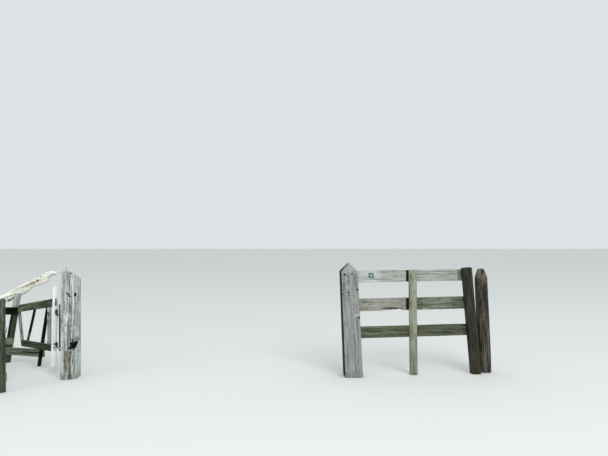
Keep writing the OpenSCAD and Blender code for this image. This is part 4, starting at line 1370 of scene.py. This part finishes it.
    def plate(self) -> None:
        """Makes the small bare plate on the top rail, with its worn middle."""
        toward = turned(self.turn, 0, -1)
        flat = seat("fence_top_rail_timber", self.at(*self.plate_at), toward)
        for name, finish, side, thick, lift in self.plates:
            bm = bmesh.new()
            bmesh.ops.create_grid(bm, x_segments=1, y_segments=1, size=side / 2)
            bmesh.ops.subdivide_edges(bm, edges=bm.edges, cuts=7, use_grid_fill=True)
            bmesh.ops.solidify(bm, geom=bm.faces, thickness=thick)
            for vert in bm.verts:
                x, y, z = vert.co
                corner = 1 - 0.05 * smooth(0.6, 1.0, abs(x * 2 / side)) * smooth(0.6, 1.0, abs(y * 2 / side))
                out = toward * (lift + z + 0.4 * MM * noise.noise(vert.co * 60))
                vert.co = flat + out - toward.cross(UP) * x * corner + UP * y * corner
            bmesh.ops.recalc_face_normals(bm, faces=bm.faces)
            finish_piece(bm, name, finish, GATEWAY, smooth_shade=False)


@dataclass
class Leaf:
    """The sagging leaf: a white heel stile, two rails, a free stile, a brace and a pale."""

    across: Place = (0.7547, -0.6561, 0.0)
    end_slant: float = 64 * MM
    top_rail_depth: float = 90 * MM
    mortise_middle: float = 778 * MM
    mortise_length: float = 82 * MM
    mortise_width: float = 17 * MM
    mortise_depth: float = 9 * MM

    def mortised(self, a: float, spot: Spot) -> Spot:
        """Sinks the top rail's mortise in the stile's face toward the post.

        Args:
            a: height of the point.
            spot: its place and outward direction.

        Returns:
            The new place and outward direction, and how dark the point is painted: painted shade inside the mortise.
        """
        u, v, nu, nv, _ = spot
        if nu < 0.5:
            return u, v, nu, nv, 0.0
        half, beyond = self.mortise_width / 2, abs(a - self.mortise_middle) - self.mortise_length / 2
        inside = smooth(half + 1.2 * MM, half - 1.2 * MM, abs(v)) * smooth(0.5, -0.5, beyond / (5 * MM))
        return u - self.mortise_depth * inside, v, nu, nv, 0.9 * inside

    def slant(self, u: float, v: float) -> float:
        """Where the top rail's split free end starts."""
        t = u / self.top_rail_depth + 0.5
        return self.end_slant * (0.15 * t + 0.85 * t * t) + max(0.0, 5 * MM * waver(u * 90, v * 60, 2.0))

    def build(self) -> None:
        """Builds the leaf's timbers."""
        side = Vector(self.across)
        Timber(
            "heel_stile", PAINT, 11, (84, 210), LEAF, axes=(UP, side), arris=3, wear=0.9, bow=1,
            section=self.mortised,
            cracks=((RIGHT_SIDE, (14, 300, 650, 1.5, 4)), (FRONT, (0, 100, 600, 2, 5)), (BACK, (4, 300, 900, 3, 7)),
                (LEFT_SIDE, (4, 200, 800, 3, 7))),
            knots=((RIGHT_SIDE, (-9, 304, 9, 8, 1), (-9, 263, 9, 8, 1), (21, 287, 7, 5, 0.9)),),
            patches=((MOSSY, 500, 450, 0.6, 0.5, RIGHT_SIDE, 20, 10), (DARK, 500, 550, 0.2, 0.5, RIGHT_SIDE, 28, 4),
                (DARK, 20, 40, 0.4, 0.6), (MOSSY, 60, 80, 0.5, 0.8), (DARK, 500, 600, 0.35, 0.3, FRONT, -10, 8)),
        ).build()
        Timber(
            "leaf_top_rail", OLIVE, 12, (60, 150), LEAF, axes=(RIGHT, UP), arris=4, foot=self.slant,
            tenon=Tenon(69, 78, 14),
            cracks=((RAIL_FRONT, (12, 450, 850, 1.6, 5), (-24, 100, 500, 1.6, 5)), (RAIL_BACK, (0, 100, 800, 3, 8))),
            knots=((RAIL_FRONT, (11, 415, 12, 5), (-10, 700, 10, 4, 0.6)),),
            # The pale strip along the top edge is a painted highlight, the dark strip along the bottom edge is
            # painted shade, and the near-black end by the stile is painted shadow.
            patches=((DARK, 780, 120, 0.5, 0.6, RAIL_FRONT, 0, 60), (PALE, 350, 450, 0.8, 0.4, RAIL_FRONT, 41, 6),
                (PALE, 300, 250, 0.35, 0.9, RAIL_FRONT, 0, 30), (PALE, 100, 90, 0.5, 0.8, RAIL_FRONT, -32, 12),
                (DARK, 500, 400, 0.6, 0.5, RAIL_FRONT, -40, 6), (BLACK, 945, 45, 0.7, 0.2)),
        ).build()
        Timber(
            "leaf_bottom_rail", LOW_OLIVE, 13, (56, 130), LEAF, axes=(RIGHT, UP), tenon=Tenon(63.3, 64, 14),
            cracks=((RAIL_FRONT, (8, 100, 600, 1.8, 5)), (RAIL_BACK, (0, 100, 600, 3, 8))),
            # The dark strip along the top edge is painted shade.
            patches=((DARK, 620, 200, 0.6, 0.5, RAIL_FRONT, 0, 50), (DARK, 450, 300, 0.6, 0.5, RAIL_FRONT, 34, 6),
                (MOSSY, 300, 400, 0.5, 0.8), (PALE, 848, 50, 1, 0.1)),
        ).build()
        Timber(
            "free_stile", LICHENED, 14, (44, 80), LEAF, axes=(UP, side), arris=3, wear=1,
            cracks=((BACK, (4, 50, 300, 2, 6)),),
            knots=((FRONT, (0, 120, 8, 4, 0.9)),),
            # The dark strip on the left of the front is painted shade.
            patches=((DARK, 300, 150, 0.6, 0.5, FRONT, -20, 10), (PALE, 80, 130, 0.5, 0.5, FRONT, 10, 14),
                (DARK, 380, 50, 0.5, 0.5)),
        ).build()
        Timber(
            "leaf_brace", DAMP_AND_SHADED, 15, (40, 80), LEAF, axes=(UP, side), arris=3, wear=0.8,
            patches=((PALE, 40, 100, 0.75, 0.4),),
        ).build()
        Timber(
            "leaf_pale", PALE_PAINT, 16, (48, 90), LEAF, axes=(UP, side), arris=3, wear=1,
            cracks=((FRONT, (-8, 50, 350, 1.5, 4)),),
            patches=((DARK, 365, 26, 1, 0.7, FRONT, 0, 40), (DARK, 270, 16, 1, 0.7, FRONT, -5, 20),
                (PALE, 420, 40, 0.8, 0.5, FRONT, 0, 40), (DARK, 160, 100, 0.35, 0.8, FRONT, 0, 40),
                (MOSSY, 60, 100, 0.6, 0.8)),
        ).build()


@dataclass
class Enclosure:
    """Round posts and rails of the space where a walker stands."""

    posts: Sequence[tuple[str, WoodFinish, float, float]] = (
        ("far_clapping_post", DAMP_AND_SHADED, 45, 8), ("rear_post", PALE_GREY, 90, 20),
        ("rear_corner_post", ENCLOSURE, 90, 8), ("near_corner_post", ENCLOSURE, 90, 8),
        ("near_post", ENCLOSURE, 90, 8), ("near_clapping_post", CLAPPING, 90, 8))
    rails: Sequence[tuple[str, WoodFinish]] = (
        ("far_lower_rail", ENCLOSURE), ("rear_upper_rail", BAR_DARK), ("rear_lower_rail", ENCLOSURE),
        ("side_upper_rail", ENCLOSURE), ("side_lower_rail", ENCLOSURE), ("corner_upper_rail", ENCLOSURE),
        ("corner_lower_rail", ENCLOSURE), ("near_upper_rail", WHITISH), ("near_lower_rail", ENCLOSURE))
    first_post_seed: int = 21
    first_rail_seed: int = 31
    post_taper: float = 0.89

    def build(self) -> None:
        """Builds every post by its thickness and the slant of its top, and every rail."""
        for seed, (name, finish, thick, slant) in enumerate(self.posts, self.first_post_seed):
            cracks = [(face, ((hash01(seed + k) * 0.6 - 0.3) * thick, 50 + 300 * hash01(seed * k + 1),
                              550 + 200 * hash01(seed + 5 * k), 0.05 * thick, 0.13 * thick))
                      for k, face in enumerate(Face)]
            knots = [(face, ((hash01(seed * 2 + k) * 0.5 - 0.25) * thick, 250 + 350 * hash01(seed + 9 * k),
                             0.11 * thick, 0.05 * thick, 0.8)) for k, face in enumerate((BACK, LEFT_SIDE))]
            Timber(name, finish, seed, (52, 110), shape=Shape.ROUND, wear=0.018 * thick, bow=0.02 * thick,
                   ragged=0.05 * thick, taper=self.post_taper, slant=slant, grounded=True, cracks=cracks,
                   knots=knots, patches=self.stains(name)).build()
        for seed, (name, finish) in enumerate(self.rails, self.first_rail_seed):
            cracks = [(face, (hash01(seed + k) * 50 - 25, 50 + 200 * hash01(seed * k),
                              450 + 150 * hash01(seed + 3 * k), 4, 8)) for k, face in enumerate((BACK, FRONT, BACK))]
            Timber(name, finish, seed, (44, 90), axes=(TO_VIEWER if name.startswith("side") else RIGHT, UP), arris=6,
                   wear=1.8, bow=1.5, ragged=6, cracks=cracks,
                   knots=((RAIL_FRONT, (10, 300 + 200 * hash01(seed), 9, 4, 0.7)),),
                   patches=((MOSSY, 300, 600, 0.35, 0.9),)).build()

    def stains(self, name: str) -> Marks:
        """Picks the tint patches of a post: stains, and near-black painted shadow on the rear post.

        Args:
            name: the post's node.

        Returns:
            A row for each patch, those of its foot first.
        """
        # The rear post's near-black patch on the left of its front is painted shadow.
        own = {"rear_post": ((BLACK, 320, 440, 1, 0.2, FRONT, -44, 50), (BROWN, 320, 440, 1, 0.2, FRONT, 30, 55),
                             (BROWN, 320, 420, 0.7, 0.5, BACK, 0, 80)),
               "near_clapping_post": ((DARK, 400, 460, 0.95, 0.5, FRONT, 0, 100),
                                      (MOSSY, 600, 300, 0.5, 0.9, FRONT, 20, 30))}
        return ((DARK, 40, 100, 0.5, 0.6), (MOSSY, 160, 200, 0.5, 0.8), *own.get(name, ()))


@dataclass
class PoleBar(Rod):
    """A bar of the bleached pole, lumpy and grooved, with a torn heart, a knot and a chip below its tip."""

    around: int = 64
    caps: int = 6
    unit: float = MM
    twist: float = 2.4
    torn_heart: tuple[float, float, float, float] = (-0.795, 0.02, 0.062, 0.46)
    heart_slope: float = 2.2
    heart_middle: float = -0.807
    knot: tuple[float, float, float, float] = (-0.738, 0.15, 0.016, 0.26)
    knot_depth: float = 5 * MM
    chip: tuple[float, float, float, float] = (-0.690, 0.75, 0.012, 0.18)
    thicker: tuple[float, float, float, float] = (-1.12, -1.0, -0.93, -0.83)
    damp_from: tuple[float, float] = (-1.09, -1.14)

    @staticmethod
    def off(x: float, s: float, at: float, over: float, half_length: float, half_height: float) -> float:
        """How far a point is from a mark of the bar, as a share of the mark's size."""
        return math.hypot((x - at) / half_length, (s - over) / half_height)

    def row(self, j: int) -> list[Skin]:
        """The points of one row round the bar.

        Args:
            j: the row's number.

        Returns:
            Its points in order.
        """
        _, place, side, top, radius, ring = self.station(j)
        x, seed = place.x, self.seed
        below = smooth(*self.damp_from, x)
        thicker = smooth(*self.thicker[:2], x) * smooth(self.thicker[3], self.thicker[2], x)
        skins = []
        for i in range(self.around):
            angle = math.tau * i / self.around
            c, s = math.cos(angle), math.sin(angle)
            tc, ts = math.cos(angle + x * self.twist), math.sin(angle + x * self.twist)
            lump = waver(x * 6 + seed, tc * 0.9, ts * 0.9)
            groove = waver(x * 3.2, tc * 4.5 + seed, ts * 4.5)
            fine = waver(x * 9, tc * 11, ts * 11 + seed)
            waist = thicker * (0.36 if s < 0 else 0.10) * abs(s)
            r = radius * (1.05 + waist + 0.10 * lump - 0.12 * smooth(0.10, 0.45, groove) + 0.04 * fine)
            crack, heart = 0.8 * smooth(0.30, 0.48, groove) + 0.5 * smooth(0.28, 0.5, fine), 0.0
            if c > 0:
                torn = self.off(x, s + (x - self.heart_middle) * self.heart_slope, *self.torn_heart)
                knot, chip = self.off(x, s, *self.knot), self.off(x, s, *self.chip)
                heart = 0.75 * smooth(1.15, 0.45, torn + 0.5 * groove) * (0.4 + 0.6 * smooth(-0.2, 0.25, fine))
                heart = max(heart, smooth(1.3, 0.7, knot))
                crack = max(crack, 0.7 * smooth(0.9, 0.4, knot), 0.9 * smooth(1.1, 0.5, chip))
                r -= self.knot_depth * smooth(1.0, 0.4, knot)
            low = below * smooth(-0.35, -0.8, s)
            crack = max(crack, 0.75 * low * smooth(-0.1, 0.3, lump + fine))
            r *= ring
            lit = 0.8 * smooth(0.1, 0.7, s) * smooth(-0.2, 0.3, lump + 0.3)
            skins.append(Skin(place + side * c * r + top * s * r, Vector((x * 0.9 + seed, tc * radius, ts * radius)),
                              min(1.0, crack), heart, 0.0, lit - 0.3 * low, 0.5 * low))
        return skins


@dataclass
class Pole:
    """The crooked bleached pole behind the rear posts: each point of a route has its thickness as a share."""

    half: float = 48.0
    route: Sequence[tuple[float, float, float, float]] = (
        (-1830, 788, 618, 0.80), (-1806, 788, 624, 0.98), (-1710, 788, 648, 0.97), (-1570, 788, 684, 0.98),
        (-1450, 808, 722, 1.02), (-1330, 824, 752, 0.97), (-1220, 838, 784, 1.04), (-1165, 844, 803, 1.08),
        (-1105, 847, 829, 1.08), (-1052, 848, 861, 1.00), (-930, 848, 926, 1.00), (-885, 848, 955, 1.02),
        (-830, 848, 981, 0.97), (-778, 848, 1003, 0.98), (-728, 848, 1024, 1.01), (-690, 848, 1048, 0.96),
        (-655, 848, 1074, 0.86), (-628, 848, 1092, 0.78), (-612, 848, 1101, 0.73), (-600, 848, 1106, 0.68),
        (-567, 848, 1114, 0.56), (-540, 848, 1113, 0.44), (-511, 848, 1106, 0.14))
    fork: Sequence[tuple[float, float, float, float]] = (
        (-800, 846, 988, 0.40), (-740, 844, 1001, 0.62), (-690, 842, 1012, 0.60), (-655, 842, 1020, 0.50),
        (-628, 843, 1029, 0.36), (-608, 844, 1033, 0.14))
    curls: Sequence[tuple[float, float, float, float]] = (
        (-1183, 750, 40, 0.3), (-1163, 752, 62, -0.2), (-1141, 770, 34, 0.5), (-1128, 778, 48, -0.4),
        (-1205, 742, 30, 0.1))
    curl_depth: float = 815.0
    curl_radii: Sequence[float] = (7, 5, 3.5, 1)

    def build(self) -> None:
        """Builds the pole, its fork and the curls that hang from it."""
        bars = (("rough_pole_bar", self.route, 40, 300, ["rough_pole"]), ("rough_pole_fork", self.fork, 41, 60, []))
        for name, route, seed, rows, nodes in bars:
            bar = PoleBar([point[:3] for point in route], [self.half * point[3] for point in route], seed, rows=rows)
            finish_piece(bar.mesh(), name, BLEACHED, GATEWAY, nodes)
        hung = []
        for k, (x, z, drop, turn) in enumerate(self.curls):
            y = self.curl_depth
            route = ((x - 8, y + 12, z + 24), (x, y, z), (x + turn * 16, y - 8, z - drop * 0.6),
                     (x + turn * 34, y - 2, z - drop))
            hung.append(Rod(route, self.curl_radii, k + 1, rough=0.6, unit=MM).mesh())
        finish_piece(gathered(hung), "rough_pole_curls", BLEACHED, GATEWAY)


@dataclass
class Fixings:
    """Nails and staples, each driven into the timber that carries it."""

    head: float = 4.6 * MM
    shank: float = 1.8 * MM
    drive: float = 26 * MM
    staple_half: float = 8 * MM
    hinge_line: Place = (-160 * MM, 0.0, 0.0)
    leaf_turn: float = 139.0
    leaf_face: float = 16 * MM
    rail_heights: Sequence[float] = (1.127, 0.8055, 0.491)
    fence_posts: Sequence[tuple] = (
        ("half_round_post_timber", 0.640, 0.7, 1.202, -0.055, ((-0.026, 0.017), (0.016, -0.026))),
        ("fence_end_post_timber", 1.267, 5.2, 1.228, -0.122, ((-0.022, 0.024), (0.024, -0.022))))
    batten_spots: Sequence[Place] = ((-0.112, -0.034, 0.40), (-0.092, -0.034, 0.58), (-0.106, -0.034, 0.76))
    stray_spots: Sequence[Place] = ((0.076, -0.02, 1.02), (0.076, 0.05, 0.86), (0.076, 0.01, 0.66))
    post_staples: Sequence[tuple] = (((-0.050, -0.105, 0.343), TO_VIEWER), ((0.078, 0.02, 0.298), RIGHT))
    leaf_staple: Place = (0.176, 0.013, 0.375)
    leaf_spots: Sequence[tuple] = (
        ("leaf_top_rail_timber",
         ((0.168, 0.798), (0.186, 0.810), (0.524, 0.738), (0.540, 0.752), (0.955, 0.690), (0.962, 0.668))),
        ("leaf_bottom_rail_timber", ((0.170, 0.346), (0.184, 0.330), (0.728, 0.316), (0.740, 0.303), (0.874, 0.292))))

    def nail(self, at: Vector, out: Vector, size: float = 1.0) -> Mesh:
        """A nail with a flat round head.

        Args:
            at: the middle of its head.
            out: the way that it faces.
            size: its size as a share of the usual nail's.

        Returns:
            The nail's closed mesh.
        """
        out = out.normalized()
        head, shank = self.head * size, self.shank * size
        route = [at + out * rise for rise in (MM * size, -1.4 * MM, -3 * MM, -self.drive)]
        return Rod(route, [head * 0.96, head, shank, shank * 0.5], steps=3, around=14).mesh()

    def staple(self, piece: str, spot: Sequence[float], out: Vector) -> Mesh:
        """A wire staple over a wire, with both legs driven in.

        Args:
            piece: the piece that it is driven into.
            spot: a point close to that piece's surface.
            out: the way that the surface faces.

        Returns:
            The staple's closed mesh.
        """
        middle, rise = seat(piece, Vector(spot), out), out.normalized()
        route = [middle + UP * side * self.staple_half + rise * lift * MM
                 for side, lift in ((1, -16), (1, -2), (1, 4.5), (0, 6), (-1, 4.5), (-1, -2), (-1, -16))]
        return Rod(route, [1.2 * MM, *[1.6 * MM] * 5, 1.2 * MM], steps=4, around=8).mesh()

    def leaf_at(self, x: float, y: float, z: float) -> Vector:
        """A point of the leaf, x along it from the hinge line and y through it."""
        return Vector(self.hinge_line) + turned(self.leaf_turn, x, y, z)

    def row(self, piece: str, spots: Iterable[Sequence[float]], out: Vector, size: float = 1.0) -> list[Mesh]:
        """Nails driven into a piece at the given spots of its surface."""
        return [self.nail(seat(piece, Vector(spot), out), out, size) for spot in spots]

    def build(self) -> None:
        """Builds the nails and staples of both bodies."""
        fence, nails, leaf = Fence(), [], []
        for post, foot, lean, level, y, pair in self.fence_posts:
            slope = math.tan(math.radians(lean))
            spots = [fence.at(foot + slope * (level - z) + dx, y, z + dz)
                     for z in self.rail_heights for dx, dz in pair]
            nails += self.row(post, spots, turned(fence.turn, 0, -1), 1.2)
        nails += self.row("hinge_batten_timber", self.batten_spots, TO_VIEWER)
        nails += self.row("old_gate_post_timber", self.stray_spots, RIGHT, 0.9)
        finish_piece(gathered(nails), "gateway_nails", RUST, GATEWAY)
        out = turned(self.leaf_turn, 0, 1)
        for piece, places in self.leaf_spots:
            leaf += self.row(piece, [self.leaf_at(x, self.leaf_face, z) for x, z in places], out)
        finish_piece(gathered(leaf), "leaf_nails", RUST, LEAF)
        staples = [self.staple("old_gate_post_timber", spot, way) for spot, way in self.post_staples]
        finish_piece(gathered(staples), "wire_staples", RUST, GATEWAY)
        staple = self.staple("leaf_pale_timber", self.leaf_at(*self.leaf_staple), out)
        finish_piece(staple, "leaf_wire_staple", RUST, LEAF)


@dataclass
class TieWire:
    """Two strands of wire wound on each other, tied round the old gatepost."""

    route: Sequence[Place] = (
        (-0.108, -0.060, 0.352), (-0.078, -0.105, 0.352), (-0.028, -0.105, 0.336), (0.078, -0.105, 0.318),
        (0.078, 0.105, 0.285), (-0.078, 0.105, 0.330), (-0.078, 0.060, 0.346))
    curl: Sequence[Place] = (
        (-0.108, -0.060, 0.352), (-0.118, -0.052, 0.349), (-0.121, -0.046, 0.340), (-0.116, -0.042, 0.333))
    strand: float = 2.3 * MM
    pitch: float = 34 * MM
    step: float = 5 * MM

    def path(self) -> list[Vector]:
        """Fills in the route, so that it stays straight between its corners.

        Returns:
            The points.
        """
        points = []
        for start, end in zip(map(Vector, self.route), map(Vector, self.route[1:])):
            steps = max(3, round((end - start).length / self.step))
            points += [start.lerp(end, k / steps) for k in range(steps)]
        return points + [Vector(self.route[-1])]

    def wound(self, phase: float) -> Mesh:
        """One strand of the pair.

        Args:
            phase: where round the pair it starts.

        Returns:
            The strand's closed mesh.
        """
        path, route, run = self.path(), [], 0.0
        for before, point, after in zip(path[:1] + path, path, path[1:] + path[-1:]):
            way = (after - before).normalized()
            side = way.cross(UP).normalized()
            turn = math.tau * run / self.pitch + phase
            route.append(point + (side * math.cos(turn) + side.cross(way) * math.sin(turn)) * self.strand)
            run += (after - point).length
        return Rod(route, [self.strand] * len(route), phase, around=10, steps=2).mesh()

    def build(self) -> None:
        """Builds the pair and the wire's curled end."""
        curl = Rod(self.curl, [self.strand] * 4, 2.0, around=10, steps=6)
        strands = gathered((self.wound(0.0), self.wound(math.pi), curl.mesh()))
        finish_piece(strands, "tie_wire_strands", WIRE, GATEWAY, ["tie_wire"])


@dataclass
class CarriedPieces:
    """CAD nodes that keep their own shape and only get a finish."""

    finishes: Sequence[tuple[str, IronFinish]] = (
        ("upper_hook", RUST), ("lower_hook", RUST), ("upper_eye", RUST), ("lower_eye", RUST),
        ("leaf_wire", DARK_WIRE))

    def build(self) -> None:
        """Puts each finish on its node."""
        for name, finish in self.finishes:
            mesh = NODES[name].data
            mesh.materials.clear()
            mesh.materials.append(material(finish))
            log.info("%s keeps its shape", name)


@dataclass
class Studio:
    """The camera at the photograph's viewing angle, the floor and plain soft light."""

    sensor_width: float = 36.0
    image_width: int = 608
    focal_pixels: float = 580.36
    horizon_below_middle: float = 7.0
    eye: Place = (2.611, -6.5, 1.6)
    floor_half: float = 60.0
    floor_colour: Colour = (90, 91, 90)
    sky_colour: Colour = (93, 95, 96)
    sky_strength: float = 0.85
    lamps: Sequence[tuple[str, Place, Place, float, float]] = (
        ("key", (9.2, -15.6, 11.4), (1.6, 0.0, 0.6), 10.0, 1950.0),
        ("fill", (-6.0, -6.0, 4.0), (0.0, 0.0, 0.6), 5.0, 120.0))

    def add(self, name: str, data: bpy.types.ID) -> bpy.types.Object:
        """Puts an object in the scene."""
        made = bpy.data.objects.new(name, data)
        bpy.context.scene.collection.objects.link(made)
        return made

    def build(self) -> None:
        """Makes the camera, the floor, the lamps and the sky."""
        scene = bpy.context.scene
        data = bpy.data.cameras.new("camera")
        data.sensor_width = self.sensor_width
        data.lens = self.sensor_width * self.focal_pixels / self.image_width
        data.shift_y = self.horizon_below_middle / self.image_width
        scene.camera = self.add("camera", data)
        scene.camera.location = self.eye
        scene.camera.rotation_euler = (math.radians(90), 0, 0)
        scene.view_settings.view_transform = "Standard"
        self.floor()
        for name, at, aim, size, power in self.lamps:
            data = bpy.data.lights.new(name, "AREA")
            data.shape, data.size, data.energy = "SQUARE", size, power
            lamp = self.add(name, data)
            lamp.location = at
            lamp.rotation_euler = (Vector(aim) - Vector(at)).to_track_quat("-Z", "Y").to_euler()
        scene.world = bpy.data.worlds.new("plain_sky")
        scene.world.use_nodes = True
        sky = scene.world.node_tree.nodes["Background"].inputs
        sky["Color"].default_value, sky["Strength"].default_value = linear(self.sky_colour), self.sky_strength

    def floor(self) -> None:
        """Makes the plain pale floor."""
        bm = bmesh.new()
        bmesh.ops.create_grid(bm, x_segments=1, y_segments=1, size=self.floor_half)
        mesh = bpy.data.meshes.new("floor")
        bm.to_mesh(mesh)
        bm.free()
        kit = NodeKit("plain_floor", 0.95)
        kit.shader.inputs["Base Color"].default_value = linear(self.floor_colour)
        mesh.materials.append(kit.material)
        self.add("floor", mesh)


def main() -> None:
    """Builds the stage and every piece in order."""
    logging.basicConfig(level=logging.INFO, format="%(message)s")
    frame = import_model()
    NODES.update(frame["nodes"])
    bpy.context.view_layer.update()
    for part in (Studio, OldGatepost, PointedGatepost, Fence, Leaf, Enclosure, Pole, Fixings, TieWire, CarriedPieces):
        part().build()


if __name__ == "__main__":
    main()
